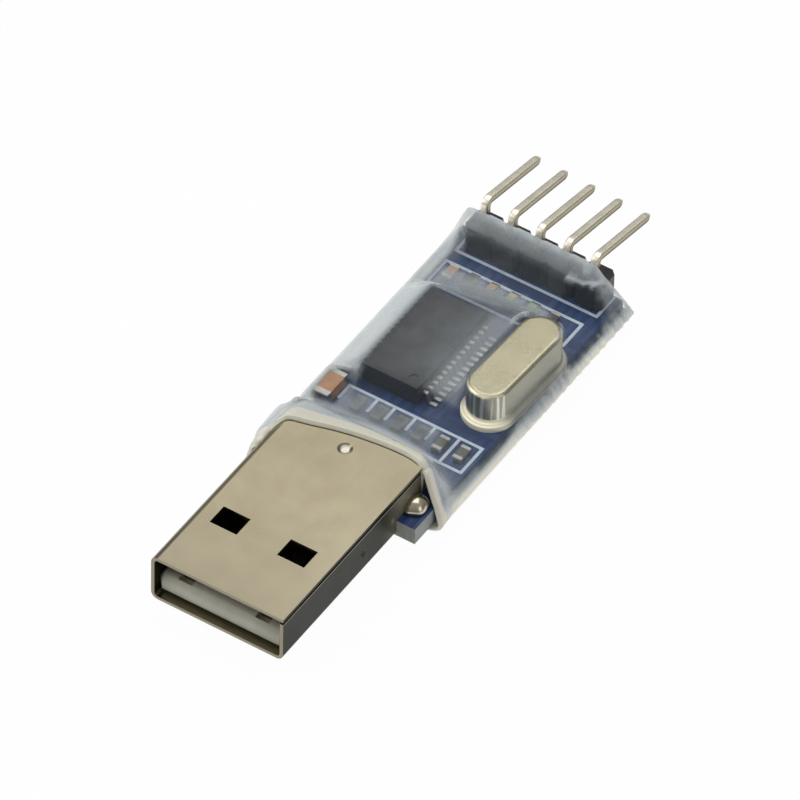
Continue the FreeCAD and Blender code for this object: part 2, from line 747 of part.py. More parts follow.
def makeSolder():
    deep = 2 * size("solderHeight")
    pins = []
    gap = size("seatGap")
    bore = size("pinWidth") + 2 * gap
    for i in range(pinCount):
        x, y = size(pinPlace(i)), size("headerCentreY")
        hole = Part.makeBox(bore, bore, deep, FreeCAD.Vector(x - bore / 2, y - bore / 2, -deep))
        pins.append(solderUnder(x, y, 1.0).cut(hole))
    formed("header_solder", Part.makeCompound(pins))
    tails = []
    wide = size("contactTailWidth") + 2 * gap
    thick = size("contactThickness") + 2 * gap
    small = size("smallSolderShare")
    for across, setback in contactPlaces():
        x = size(across)
        y = size("contactTailSetback") - size("contactThickness") / 2
        hole = Part.makeBox(wide, thick, deep, FreeCAD.Vector(x - wide / 2, y - thick / 2, -deep))
        tails.append(solderUnder(x, y, small).cut(hole))
    formed("contact_solder", Part.makeCompound(tails))
    ends = []
    wide = 2 * (size("crystalLeadRadius") + gap)
    for x, y in crystalLeadPlaces():
        hole = Part.makeBox(wide, wide, deep, FreeCAD.Vector(x - wide / 2, y - wide / 2, -deep))
        ends.append(solderUnder(x, y, small).cut(hole))
    formed("crystal_solder", Part.makeCompound(ends))

    # Half cone outside each leg of the shell, on the board's top
    fillets = []
    for side in (-1, 1):
        wall = size("plugWidth") / 2 + gap
        y = size("legSetback") + size("legWidth") / 2
        low = size("boardThickness") + gap
        whole = Part.makeCone(size("legSolderRadius"), size("legSolderTipRadius"), size("legSolderHeight"),
                              FreeCAD.Vector(side * wall, y, low))
        reach = 2 * size("legSolderRadius")
        keep = Part.makeBox(reach, 2 * reach, reach,
                            FreeCAD.Vector(wall if side > 0 else -wall - reach, y - reach, low))
        fillets.append(whole.common(keep))
    formed("shell_solder", Part.makeCompound(fillets))


# Height of a taut film at x over corners it rests on: the highest chord between two of them
def filmHeight(x, corners):
    heights = []
    for x0, z0 in corners:
        for x1, z1 in corners:
            if x0 < x1 and x0 <= x <= x1:
                heights.append(z0 + (z1 - z0) * (x - x0) / (x1 - x0))
    return max(heights)


# Moves every corner of a closed outline outwards by one distance
def grown(points, distance):
    moved = []
    count = len(points)
    for i, (x, z) in enumerate(points):
        before = points[i - 1]
        after = points[(i + 1) % count]
        normals = []
        for (x0, z0), (x1, z1) in ((before, (x, z)), ((x, z), after)):
            run = math.hypot(x1 - x0, z1 - z0)
            normals.append((-(z1 - z0) / run, (x1 - x0) / run))
        (ax, az), (bx, bz) = normals
        share = distance / (1 + ax * bx + az * bz)
        moved.append((x + (ax + bx) * share, z + (az + bz) * share))
    return moved


# What the film rests on: front and rear end, left and right end, top, and the length over
# which the film comes down before and behind it, longer for a wide rest
def sleeveRests():
    gap = size("fitGap")
    board = size("boardThickness")
    slant = abs(math.sin(math.radians(size("crystalTurn")))) * size("canLength")
    stripTop = board + size("headerHeight") + gap

    def rest(front, rear, left, right, top):
        fall = size("sleeveFallStart") + size("sleeveFallShare") * (right - left)
        return front, rear, left, right, top, fall

    def about(middleY, length, middleX, width, top):
        return rest(middleY - length / 2, middleY + length / 2, middleX - width / 2, middleX + width / 2, top)

    def row(name, rise):
        run = (len(rowNames[name]) - 1) * size(name + "RowPitch")
        return about(size(name + "RowY"), size("smallLength"), size(name + "RowX") + run / 2,
                     run + size("smallWidth"), board + size("smallHeight") + rise + gap)

    halfStrip = pinCount * size("headerPitch") / 2
    stripFront = size("headerCentreY") - size("headerWidth") / 2
    stripLeft = size("headerCentreX") - halfStrip
    stripRight = size("headerCentreX") + halfStrip
    inset = (size("headerPitch") - size("pinWidth")) / 2
    return [
        rest(size("sleeveStart"), size("plateLength"), -size("plugWidth") / 2, size("plugWidth") / 2,
             size("plugHeight")),
        row("front", 0),
        about(size("bigCapY"), size("bigCapLength"), size("bigCapX"), size("bigCapWidth"),
              board + size("bigCapHeight") + gap),
        about(size("chipSetback") + size("chipLength") / 2, size("chipLength"), size("chipCentreX"),
              size("chipWidth"), board + size("chipStandoff") + size("chipThickness") + gap),
        about(size("crystalCentreY"), size("canLength"), size("crystalCentreX"), size("canWidth") + slant,
              size("canTop") + gap),
        row("rear", size("lampLensHeight")),
        rest(stripFront, size("sleeveEnd"), stripLeft, stripRight, stripTop),
        (pinFront(), size("sleeveEnd"), stripLeft, stripRight - inset, stripTop + size("sleevePinRise"),
         size("headerWidth") / 2)]


# Near sides of the pins, where the film ends at the top
def pinFront():
    return size("headerCentreY") - size("pinWidth") / 2 - 2 * size("fitGap")


# Places along the module where the sleeve has a section: the ends of what it rests on, and
# where it has come down from them, unless that is close to another place
def sleevePlaces(rests):
    gap = size("fitGap")
    places = [end for front, rear, _, _, _, _ in rests for end in (front - gap, rear + gap)]
    for front, rear, _, _, _, fall in rests:
        for foot in (front - gap - fall, rear + gap + fall):
            if min(abs(foot - place) for place in places) > size("sleeveFoldGap"):
                places.append(foot)
    inner = {round(y, 6) for y in places if size("sleeveStart") < y < size("sleeveEnd")}
    return sorted(inner) + [size("sleeveEnd")]


# The sleeve's inside at each place, with its wall thickness there. The inside runs from its
# lower left corner over the top to the lower right, with one corner on every fold line.
def sleeveStations():
    gap = size("fitGap")
    rests = sleeveRests()
    slant = abs(math.sin(math.radians(size("crystalTurn")))) * size("flangeLength")
    flangeRight = size("crystalCentreX") + (size("flangeWidth") + slant) / 2
    left = -size("boardLeft") - gap
    right = max(size("boardRight") + size("sleeveSideSlack"), flangeRight) + gap
    board = size("boardThickness") + gap
    foot = size("sleeveFilmEdge")
    folds = sorted({across for rest in rests for across in (rest[2] - gap, rest[3] + gap)})
    low = max(size("solderHeight") + size("seatGap"), size("pinTail")) + gap
    stations = []
    for y in sleevePlaces(rests):
        corners = [(left, board), (right, board)]
        for front, rear, restLeft, restRight, top, fall in rests:
            share = 1 - max(front - gap - y, y - rear - gap, 0) / fall
            if share > 0:
                high = board + (top + gap - board) * share
                corners += [(restLeft - gap, high), (restRight + gap, high)]
        wall = size("sleeveLip") if y <= size("plateLength") + 2 * gap else size("sleeveWall")
        top = [(x, filmHeight(x, corners)) for x in folds]
        stations.append((y, [(left + foot, -low), (left, -gap), (left, board)] + top
                         + [(right, board), (right, -gap), (right - foot, -low)], wall))
    # In front the sleeve has the section that it has at the plug's rear end
    y, points, wall = stations[0]
    raised = [(x, max(z, -gap)) for x, z in points]
    return [(size("sleeveStart"), raised, wall)] + stations


def tubeThrough(stations, thick):
    rings = []
    for y, points, wall in stations:
        ring = grown(points, wall) if thick else points
        rings.append([FreeCAD.Vector(x, y, z) for x, z in ring])
    return skinned(rings)


def makeSleeve():
    stations = sleeveStations()
    outer = tubeThrough(stations, True)
    spare = 1.0
    first, last = stations[0], stations[-1]
    longer = [(first[0] - spare,) + first[1:]] + stations[1:-1] + [(last[0] + spare,) + last[1:]]
    tube = outer.cut(tubeThrough(longer, False))

    # The front edge runs askew across the plug, curved in plan
    reach = 30.0
    left = FreeCAD.Vector(-size("boardLeft") - spare, size("sleeveFrontLeft"), -reach)
    peak = FreeCAD.Vector(size("sleeveFrontPeakX"), size("sleeveFrontPeak"), -reach)
    right = FreeCAD.Vector(size("boardRight") + spare, size("sleeveFrontRight"), -reach)
    ahead = FreeCAD.Vector(0, -reach, 0)
    out = FreeCAD.Vector(reach, 0, 0)
    loop = [Part.Arc(left, peak, right).toShape(),
            Part.makePolygon([right, right + out, right + out + ahead, left - out + ahead, left - out, left])]
    tube = tube.cut(Part.Face(Part.Wire(loop)).extrude(FreeCAD.Vector(0, 0, 2 * reach)))

    # The rear edge slopes down and back, from the near sides of the pins to behind the board
    high = size("boardThickness") + size("headerHeight") + size("sleevePinRise")
    upper = FreeCAD.Vector(-reach, pinFront(), high)
    lower = FreeCAD.Vector(-reach, size("boardRear") + size("sleeveRearLap"), 0)
    down = (lower - upper) * reach
    corners = [upper - down, lower + down, lower + down + FreeCAD.Vector(0, reach * reach, 0),
               upper - down + FreeCAD.Vector(0, reach * reach, 0)]
    behind = Part.Face(Part.makePolygon(corners + corners[:1])).extrude(out * 2)
    formed("heat_shrink_sleeve", tube.cut(behind).removeSplitter())


makeShell()
makeInsulator()
makeContacts()
makeBoard()
makeChip()
makeChipLeads()
makeCrystal()
makeHeader()
makePins()
makeSmallParts()
makeSolder()
makeSleeve()

doc.recompute()
for thing in doc.Objects:
    if "Invalid" in thing.State or "Error" in thing.State:
        raise RuntimeError("failed feature: " + thing.Name)
os.makedirs("parts", exist_ok=True)
for thing in nodes:
    shape = thing.Shape
    if shape.isNull() or not shape.isValid() or not shape.Solids:
        raise RuntimeError("bad shape: " + thing.Label)
    shape.exportStep("parts/" + thing.Label + ".step")
    print(thing.Label, len(shape.Solids), round(shape.Volume, 3))
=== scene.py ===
import json
import math

import bpy
import numpy as np
from mathutils import Matrix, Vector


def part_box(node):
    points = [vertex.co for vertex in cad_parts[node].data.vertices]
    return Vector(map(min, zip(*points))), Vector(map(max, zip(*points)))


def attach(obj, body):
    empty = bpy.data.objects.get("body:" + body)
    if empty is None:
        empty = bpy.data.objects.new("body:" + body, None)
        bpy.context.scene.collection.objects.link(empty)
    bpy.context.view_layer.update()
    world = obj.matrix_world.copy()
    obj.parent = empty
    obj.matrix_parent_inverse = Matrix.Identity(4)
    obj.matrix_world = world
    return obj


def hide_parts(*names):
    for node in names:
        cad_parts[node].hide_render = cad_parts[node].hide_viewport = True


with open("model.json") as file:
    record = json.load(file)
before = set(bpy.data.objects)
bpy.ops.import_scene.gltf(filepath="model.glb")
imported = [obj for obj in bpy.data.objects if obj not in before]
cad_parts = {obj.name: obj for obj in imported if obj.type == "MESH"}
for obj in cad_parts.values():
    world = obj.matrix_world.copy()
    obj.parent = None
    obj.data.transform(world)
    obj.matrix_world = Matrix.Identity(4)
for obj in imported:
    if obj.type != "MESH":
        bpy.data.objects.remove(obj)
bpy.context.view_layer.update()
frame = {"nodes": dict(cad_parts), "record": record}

# Looks of a serial adapter: plug, blue board and pins in a shrunk clear sleeve.
# Lengths below are in millimetres, and go into the meshes in metres.
mm = 0.001


class Wire:
    # An output socket that takes arithmetic: each operator adds one Math node
    def __init__(self, tree, socket):
        self.tree = tree
        self.socket = socket

    def add(self, kind, settings=None, sockets=None, out=0):
        node = self.tree.nodes.new(kind)
        for name, value in (settings or {}).items():
            setattr(node, name, value)
        for name, value in (sockets or {}).items():
            if isinstance(value, Wire):
                self.tree.links.new(value.socket, node.inputs[name])
            else:
                node.inputs[name].default_value = value
        return Wire(self.tree, node.outputs[out] if len(node.outputs) else None)

    def math(self, operation, first, second=0.0):
        return self.add("ShaderNodeMath", {"operation": operation}, {0: first, 1: second})

    def __add__(self, other):
        return self.math("ADD", self, other)

    def __radd__(self, other):
        return self.math("ADD", other, self)

    def __sub__(self, other):
        return self.math("SUBTRACT", self, other)

    def __rsub__(self, other):
        return self.math("SUBTRACT", other, self)

    def __mul__(self, other):
        return self.math("MULTIPLY", self, other)

    def __rmul__(self, other):
        return self.math("MULTIPLY", other, self)

    def __truediv__(self, other):
        return self.math("DIVIDE", self, other)

    def most(self, other):
        return self.math("MAXIMUM", self, other)

    def size(self):
        return self.math("ABSOLUTE", self)

    def fraction(self):
        return self.math("FRACT", self)

    def part(self, index):  # the x, y or z of a vector
        return self.add("ShaderNodeSeparateXYZ", {}, {"Vector": self}, index)

    def normal(self):  # which way the surface faces
        return self.add("ShaderNodeNewGeometry", out="Normal")

    def step(self, low, high, start=0.0, end=1.0):  # smooth rise from low to high
        kind = {"interpolation_type": "SMOOTHSTEP"}
        return self.add("ShaderNodeMapRange", kind, {"Value": self, "From Min": low, "From Max": high,
                                                     "To Min": start, "To Max": end})

    def past(self, low, high):  # the same between two places in millimetres
        return self.step(low * mm, high * mm)

    def spread(self, start=0.0, end=1.0):  # the same over the span that a noise mostly keeps to
        return self.step(0.3, 0.7, start, end)

    def between(self, first, second):  # this mask between two colours
        kind = {"data_type": "RGBA"}
        pair = [value if isinstance(value, Wire) else (*value, 1) for value in (first, second)]
        return self.add("ShaderNodeMix", kind, {0: self, 6: pair[0], 7: pair[1]}, 2)

    def noise(self, scale, detail=2.0, roughness=0.5, stretch=(1, 1, 1)):
        place = self.add("ShaderNodeMapping", {}, {"Vector": self, "Scale": stretch})
        return self.add("ShaderNodeTexNoise", {}, {"Vector": place, "Scale": scale, "Detail": detail,
                                                   "Roughness": roughness})

    def bump(self, height, distance):
        return self.add("ShaderNodeBump", {}, {"Height": height, "Distance": distance * mm})

    def attribute(self, name):  # a number kept at each point of the mesh
        kind = {"attribute_type": "GEOMETRY", "attribute_name": name}
        return self.add("ShaderNodeAttribute", kind, {}, 2)


def newFinish(name):
    material = bpy.data.materials.new(name)
    material.use_nodes = True
    tree = material.node_tree
    tree.nodes.clear()
    return material, Wire(tree, tree.nodes.new("ShaderNodeTexCoord").outputs["Object"])


def shade(place, sockets):
    shader = place.add("ShaderNodeBsdfPrincipled", {}, sockets)
    place.add("ShaderNodeOutputMaterial", {}, {"Surface": shader})


def meshPiece(name, points, faces, slot, material, smooth=True):
    mesh = bpy.data.meshes.new(name)
    mesh.from_pydata((np.asarray(points) * mm).tolist(), [], [list(face) for face in faces])
    mesh.validate()
    # Faces turn outward: the tetrahedra from the origin to each triangle add up to the volume
    mesh.calc_loop_triangles()
    corners = np.empty(3 * len(mesh.loop_triangles), int)
    mesh.loop_triangles.foreach_get("vertices", corners)
    first, second, third = np.asarray(points, float)[corners.reshape(-1, 3)].transpose(1, 0, 2)
    if len(faces) > 1 and np.sum(first * np.cross(second, third)) < 0:
        mesh.flip_normals()
    mesh.update()
    mesh.polygons.foreach_set("use_smooth", np.full(len(mesh.polygons), smooth))
    mesh.materials.append(material)
    piece = bpy.data.objects.new(name, mesh)
    bpy.context.scene.collection.objects.link(piece)
    return piece


def ringFaces(rings, columns, joined=False):
    # Quads between neighbouring rings of a tube; in a joined one the last ring meets the first
    i, j = np.meshgrid(np.arange(rings if joined else rings - 1), np.arange(columns), indexing="ij")
    k, m = (i + 1) % rings, (j + 1) % columns
    return np.stack([i * columns + j, i * columns + m, k * columns + m, k * columns + j], -1).reshape(-1, 4)


def cappedFaces(rings, columns, start=0):
    # A tube whose points are numbered from start, with a cap on its first ring and on its last
    tube = ringFaces(rings, columns)[:, ::-1] + start
    last = start + (rings - 1) * columns
    caps = [list(range(start, start + columns)), list(range(last + columns - 1, last - 1, -1))]
    return tube.tolist() + caps


def hang(name, data, side, top, back, spot):
    # An object at a spot, with its three axes turned to side, top and back
    holder = bpy.data.objects.new(name, data)
    bpy.context.scene.collection.objects.link(holder)
    turned = np.eye(4)
    turned[:3] = np.stack([side, top, back, np.asarray(spot) * mm], -1)
    holder.matrix_world = Matrix(turned.tolist())
    return holder


# Camera: fitted to the plug and the header in the photograph
view = {"azimuth": 31.966, "elevation": 45.891, "roll": 1.537, "distance": 800.0, "aim": (0.0, 25.0, 2.0),
        "across": 0.2095, "up": 1.0437, "lens": 467.4, "sensor": 36.0, "nearest": 0.05, "farthest": 20.0}
azimuth, elevation, roll = (math.radians(view[key]) for key in ("azimuth", "elevation", "roll"))
rightward = np.array([math.cos(azimuth), math.sin(azimuth), 0.0])
backward = np.array([math.sin(azimuth) * math.cos(elevation), -math.cos(azimuth) * math.cos(elevation),
                     math.sin(elevation)])
upward = np.cross(backward, rightward)
sideAxis = math.cos(roll) * rightward + math.sin(roll) * upward
topAxis = math.cos(roll) * upward - math.sin(roll) * rightward
eye = np.array(view["aim"]) + view["distance"] * backward + view["across"] * sideAxis + view["up"] * topAxis
cameraData = bpy.data.cameras.new("view_camera")
cameraData.lens = view["lens"]
cameraData.sensor_width = view["sensor"]
cameraData.clip_start = view["nearest"]
cameraData.clip_end = view["farthest"]
bpy.context.scene.camera = hang("view_camera", cameraData, sideAxis, topAxis, backward, eye)
bpy.context.scene.view_settings.view_transform = "Standard"
print("camera set")

# Studio: big soft lamps round a pale floor, and a room that is lighter above than below
studio = {"world": 0.40, "rise": (-0.3, 0.9, 0.25, 1.0), "aim": (0, 26, 2), "floor": (0.95, 0.95, 0.95),
          "floorDull": 0.985, "floorCloud": 30.0, "floorZ": -1.07, "floorReach": 1500, "glow": 0.97}
lamps = {
    "top_softbox": {"at": (-60, 120, 330), "size": 330, "power": 0.50},
    "front_softbox": {"at": (-260, -160, 190), "size": 260, "power": 0.34},
    "right_softbox": {"at": (300, -40, 150), "size": 200, "power": 0.13},
}
for name, lamp in lamps.items():
    light = bpy.data.lights.new(name, "AREA")
    light.shape = "SQUARE"
    light.size = lamp["size"] * mm
    light.energy = lamp["power"]
    back = np.array(lamp["at"], float) - studio["aim"]
    back /= np.linalg.norm(back)
    side = np.cross((0, 0, 1), back)
    side /= np.linalg.norm(side)
    hang(name, light, side, np.cross(back, side), back, lamp["at"])

world = bpy.data.worlds.new("studio")
bpy.context.scene.world = world
world.use_nodes = True
world.node_tree.nodes.clear()
sky = Wire(world.node_tree, world.node_tree.nodes.new("ShaderNodeTexCoord").outputs["Generated"])
looked = sky.add("ShaderNodeLightPath", out="Is Camera Ray")
room = sky.part(2).step(*studio["rise"]) * studio["world"]
bright = looked + (1 - looked) * room
backing = sky.add("ShaderNodeBackground", {}, {"Color": (1, 1, 1, 1), "Strength": bright})
sky.add("ShaderNodeOutputWorld", {}, {"Surface": backing})


def floorFinish():
    # White to the eye, in mirrors and through the film, and a plain matt floor to all other light
    material, place = newFinish("studio_floor")
    dull = tuple(studio["floorDull"] * part for part in studio["floor"])
    tone = place.noise(studio["floorCloud"]).between(studio["floor"], dull)
    matt = place.add("ShaderNodeBsdfDiffuse", {}, {"Color": tone})
    lit = place.add("ShaderNodeEmission", {}, {"Color": (1, 1, 1, 1), "Strength": 1.0})
    looked, mirrored, passed = (place.add("ShaderNodeLightPath", out="Is %s Ray" % kind)
                                for kind in ("Camera", "Glossy", "Transmission"))
    share = looked.most(mirrored).most(passed) * studio["glow"]
    blended = place.add("ShaderNodeMixShader", {}, {0: share, 1: matt, 2: lit})
    place.add("ShaderNodeOutputMaterial", {}, {"Surface": blended})
    return material


reach = studio["floorReach"]
corners = [(-reach, -reach), (reach, -reach), (reach, reach), (-reach, reach)]
corners = [(x, y, studio["floorZ"]) for x, y in corners]
floor = meshPiece("floor", corners, [(0, 1, 2, 3)], None, floorFinish())
print("floor and lamps set")

# Finishes: two tones mixed by a cloud, roughness between two values, and a fine grain. front is a painted
# shade: the darker tone of the faces turned to the plug. clear is what the lamps share
plain = {"metallic": 0.0, "stretch": (1, 1, 1), "turned": (-0.5, -0.9)}
clear = {**plain, "rough": (0.16, 0.26), "cloud": 1500, "grain": 9000, "relief": 0.001}
looks = {
    "contact_gold": {**plain, "tones": ((0.42, 0.30, 0.12), (0.36, 0.25, 0.10)), "rough": (0.26, 0.34),
                     "metallic": 1.0, "cloud": 800, "grain": 6000, "stretch": (1, 0.2, 1), "relief": 0.001},
    # chip_black and header_black keep a front tone: painted shade on their faces turned to the plug
    "chip_black": {**plain, "tones": ((0.030, 0.031, 0.034), (0.022, 0.023, 0.026)), "rough": (0.42, 0.56),
                   "front": (0.003, 0.008, 0.014), "cloud": 900, "grain": 14000, "relief": 0.003},
    "quartz": {**plain, "tones": ((0.80, 0.83, 0.85), (0.72, 0.76, 0.79)), "rough": (0.05, 0.15),
               "cloud": 600, "grain": 9000, "relief": 0.001},
    "header_black": {**plain, "tones": ((0.012, 0.012, 0.014), (0.019, 0.019, 0.021)), "rough": (0.34, 0.48),
                     "front": (0.004, 0.009, 0.015), "cloud": 700, "grain": 9000, "relief": 0.003},
    "resistor_dark": {**plain, "tones": ((0.055, 0.055, 0.06), (0.035, 0.035, 0.04)), "rough": (0.30, 0.44),
                      "cloud": 1500, "grain": 12000, "relief": 0.002},
    "lamp_amber": {**clear, "tones": ((0.50, 0.33, 0.13), (0.42, 0.27, 0.10))},
    "lamp_yellow": {**clear, "tones": ((0.50, 0.44, 0.20), (0.42, 0.37, 0.16))},
    "lamp_green": {**clear, "tones": ((0.26, 0.38, 0.20), (0.21, 0.31, 0.16))},
    "solder": {**plain, "tones": ((0.62, 0.57, 0.42), (0.52, 0.48, 0.36)), "rough": (0.14, 0.26),
               "metallic": 1.0, "cloud": 1100, "grain": 5000, "relief": 0.003},
}


def plainFinish(name, look):
    material, place = newFinish(name)
    cloud = place.noise(look["cloud"], 4.0, 0.6)
    grain = place.noise(look["grain"], 2.0, 0.5, look["stretch"])
    tone = cloud.spread().between(*look["tones"])
    # Painted shade: faces turned to the plug take the darker front tone
    if "front" in look:
        tone = place.normal().part(1).step(*look["turned"]).between(tone, look["front"])
    shade(place, {"Base Color": tone,
                  "Metallic": look["metallic"],
                  "Roughness": (0.85 * cloud + 0.15 * grain).spread(*look["rough"]),
                  "Normal": place.bump(grain, look["relief"])})
    return material


# Shell: nickel with fine brushing along the plug. Its upright walls are dark, a painted dark reflection that
# is lighter towards the rear, and pale along their top folds, a painted highlight; a pale painted highlight
# lies in the punch mark
shellLook = {"bright": (0.365, 0.325, 0.225), "worn": (0.345, 0.300, 0.205), "cloud": 240.0,
             "brush": 9000.0, "brushStretch": (1, 0.05, 1), "rough": (0.22, 0.28), "relief": 0.0002,
             "wall": (0.014, 0.013, 0.006), "wallRear": (0.18, 0.17, 0.125), "rearward": (13.5, 16.5),
             "sideways": (0.55, 0.95), "front": (0.28, 0.25, 0.175), "frontTo": (-2.0, 12.0),
             "fold": (0.30, 0.27, 0.20), "foldAt": (3.86, 4.02), "foldSoft": 0.06,
             "mark": (0.84, 0.81, 0.70), "markAt": (-0.05, 17.7, 4.3), "markReach": (0.46, 0.276),
             "shine": 0.12}


def shellFinish(look):
    material, place = newFinish("plug_metal")
    cloud = place.noise(look["cloud"], 4.0, 0.6)
    brush = place.noise(look["brush"], 2.0, 0.5, look["brushStretch"])
    sideways = place.normal().part(0).size().step(*look["sideways"])
    along, height = place.part(1), place.part(2)
    plate = (0.7 * cloud + 0.3 * brush).spread().between(look["bright"], look["worn"])
    plate = along.past(*look["frontTo"]).between(look["front"], plate)
    # Painted highlight: a pale, rougher disc in the punch mark
    markAt = tuple(part * mm for part in look["markAt"])
    mark = place.add("ShaderNodeVectorMath", {"operation": "DISTANCE"}, {0: place, 1: markAt}, 1)
    mark = mark.past(*look["markReach"])
    plate = mark.between(plate, look["mark"])
    # Painted dark reflection on the upright walls, lighter towards the rear, with a painted highlight along
    # their top fold
    wall = along.past(*look["rearward"]).between(look["wall"], look["wallRear"])
    (low, high), soft = look["foldAt"], look["foldSoft"]
    fold = height.past(low - soft, low) * (1 - height.past(high, high + soft))
    shade(place, {"Base Color": sideways.between(plate, fold.between(wall, look["fold"])),
                  "Metallic": 1 - 0.8 * sideways,
                  "Specular IOR Level": look["shine"],
                  "Roughness": cloud.spread(*look["rough"]) + 0.15 * sideways + 0.3 * mark,
                  "Normal": place.bump(brush, look["relief"])})
    return material


# Insulator: ivory plastic, darkened where little light gets in behind the plug's mouth
ivoryLook = {"ivory": (0.50, 0.49, 0.40), "shade": (0.44, 0.43, 0.35), "deep": (0.015, 0.014, 0.012),
             "deepPast": (2.2, 5.0), "rough": (0.30, 0.42), "cloud": 500.0, "grain": 6000.0, "relief": 0.002}


def ivoryFinish(look):
    material, place = newFinish("plug_plastic")
    cloud = place.noise(look["cloud"], 3.0, 0.6)
    pale = cloud.spread().between(look["ivory"], look["shade"])
    inward = place.part(1).past(*look["deepPast"])
    shade(place, {"Base Color": inward.between(pale, look["deep"]),
                  "Roughness": cloud.spread(*look["rough"]),
                  "Normal": place.bump(place.noise(look["grain"]), look["relief"])})
    return material


# Pins: pale tin, dull and dark on the sides turned away from the light
pinLook = {"bright": (0.97, 0.92, 0.77), "worn": (0.93, 0.88, 0.73), "side": (0.40, 0.36, 0.24),
           "under": (0.075, 0.062, 0.035), "rightward": (0.45, 0.85), "downward": (0.01, -0.03),
           "rough": (0.34, 0.44), "cloud": 700.0, "streak": 5000.0, "streakStretch": (1, 0.15, 0.15),
           "relief": 0.00015}


def pinFinish(look):
    material, place = newFinish("pin_metal")
    cloud = place.noise(look["cloud"], 4.0, 0.6)
    streak = place.noise(look["streak"], 2.0, 0.5, look["streakStretch"])
    rightward = place.normal().part(0).step(*look["rightward"])
    below = place.normal().part(2).step(*look["downward"])
    face = (0.5 * cloud + 0.5 * streak).spread().between(look["bright"], look["worn"])
    shade(place, {"Base Color": rightward.between(face, below.between(look["side"], look["under"])),
                  "Metallic": 1.0,
                  "Roughness": cloud.spread(*look["rough"]),
                  "Normal": place.bump(streak, look["relief"])})
    return material


# Crystal's metal: warm nickel, duller and darker down its sides, the darker tone a painted shade, with
# painted reflections streaked down the sides of its front end; its flange matt, and pale at the front as a
# painted highlight; and a glowing painted highlight along the front of its rim and of its flange
crystalLook = {"top": (0.49, 0.45, 0.31), "worn": (0.44, 0.405, 0.275), "side": (0.34, 0.335, 0.265),
               "streak": (0.80, 0.79, 0.74), "flange": (0.93, 0.89, 0.72), "flangeSide": (0.42, 0.42, 0.35),
               "flangeTop": (2.54, 2.66), "rearward": (28.0, 30.0), "upward": (0.25, 0.7),
               "rough": (0.22, 0.30), "matt": 0.22, "cloud": 420.0, "streaks": 2200.0,
               "streakStretch": (1, 1, 0.05), "streakShare": (0.44, 0.56), "grain": 8000.0, "relief": 0.0002,
               "gleam": (0.42, 0.39, 0.28), "gleamSide": (0.3, 0.8), "rimFront": (-0.15, -0.5),
               "rimRise": (0.25, 0.5), "rimTop": (0.8, 0.92), "rimMiddle": -0.1,
               "flangeFront": (0.2, -0.5), "flangeRise": (-0.1, 0.4)}


def crystalFinish(look):
    material, place = newFinish("crystal_metal")
    cloud = place.noise(look["cloud"], 4.0, 0.6)
    x, y, z = (place.normal().part(index) for index in range(3))
    upright = z.step(*look["upward"])
    forward = 1 - place.part(1).past(*look["rearward"])
    flange = 1 - place.part(2).past(*look["flangeTop"])
    top = cloud.spread().between(look["top"], look["worn"])
    # Painted reflections: light streaks on the darker side tone, itself a painted shade, down the can's
    # front end
    streak = place.noise(look["streaks"], 1.0, 0.5, look["streakStretch"])
    streak = streak.step(*look["streakShare"]) * forward
    face = upright.between(streak.between(look["side"], look["streak"]), top)
    # Painted highlights, made to glow: along the front of the rim and along the front of the flange
    rim = y.step(*look["rimFront"]) * z.step(*look["rimRise"]) * (1 - z.step(*look["rimTop"]))
    rim = rim * (1 - (x - look["rimMiddle"]).size().step(*look["gleamSide"]))
    foot = flange * forward * y.step(*look["flangeFront"]) * z.step(*look["flangeRise"])
    foot = foot * (1 - x.step(*look["gleamSide"]))
    dull = flange.most(0.6 * (1 - upright))
    # The flange's pale, less metallic front tone is a painted highlight
    shade(place, {"Base Color": flange.between(face, forward.between(look["flangeSide"], look["flange"])),
                  "Metallic": 1 - 0.75 * flange * forward,
                  "Roughness": cloud.spread(*look["rough"]) + look["matt"] * dull,
                  "Emission Color": rim.most(foot).between((0, 0, 0), look["gleam"]),
                  "Emission Strength": 1.0,
                  "Normal": place.bump(place.noise(look["grain"]), look["relief"])})
    return material


# Tin: bright on the chip's leads, dull and grey-green on the ends of the small parts in the two rows
tinLook = {"lead": (0.52, 0.51, 0.47), "worn": (0.44, 0.43, 0.39), "dull": (0.10, 0.11, 0.10),
           "frontRow": (26.1, 26.3), "rearRow": (38.2, 38.4), "dullFrom": (-4.5, -4.0), "dullTo": (3.4, 3.8),
           "rough": (0.30, 0.42), "cloud": 1800.0, "grain": 9000.0, "relief": 0.001}


def tinFinish(look):
    material, place = newFinish("tinned_metal")
    cloud = place.noise(look["cloud"], 4.0, 0.6)
    x, along = place.part(0), place.part(1)
    inRows = (1 - along.past(*look["frontRow"])).most(along.past(*look["rearRow"]))
    inRows = inRows * x.past(*look["dullFrom"]) * (1 - 0.8 * x.past(*look["dullTo"]))
    tin = cloud.spread().between(look["lead"], look["worn"])
    shade(place, {"Base Color": inRows.between(tin, look["dull"]),
                  "Metallic": 1 - 0.8 * inRows,
                  "Roughness": cloud.spread(*look["rough"]),
                  "Normal": place.bump(place.noise(look["grain"]), look["relief"])})
    return material


# Ceramic: tan at the left of the board, olive grey in the parts at its right
ceramicLook = {"tan": (0.50, 0.255, 0.13), "dull": (0.42, 0.22, 0.11), "olive": (0.13, 0.14, 0.11),
               "grey": (0.09, 0.10, 0.085), "oliveFrom": (0.5, 2.0), "rough": (0.38, 0.50),
               "cloud": 1500.0, "grain": 12000.0, "relief": 0.002}


def ceramicFinish(look):
    material, place = newFinish("capacitor_tan")
    cloud = place.noise(look["cloud"], 4.0, 0.6)
    tan = cloud.spread().between(look["tan"], look["dull"])
    olive = cloud.spread().between(look["olive"], look["grey"])
    shade(place, {"Base Color": place.part(0).past(*look["oliveFrom"]).between(tan, olive),
                  "Roughness": cloud.spread(*look["rough"]),
                  "Normal": place.bump(place.noise(look["grain"]), look["relief"])})
    return material


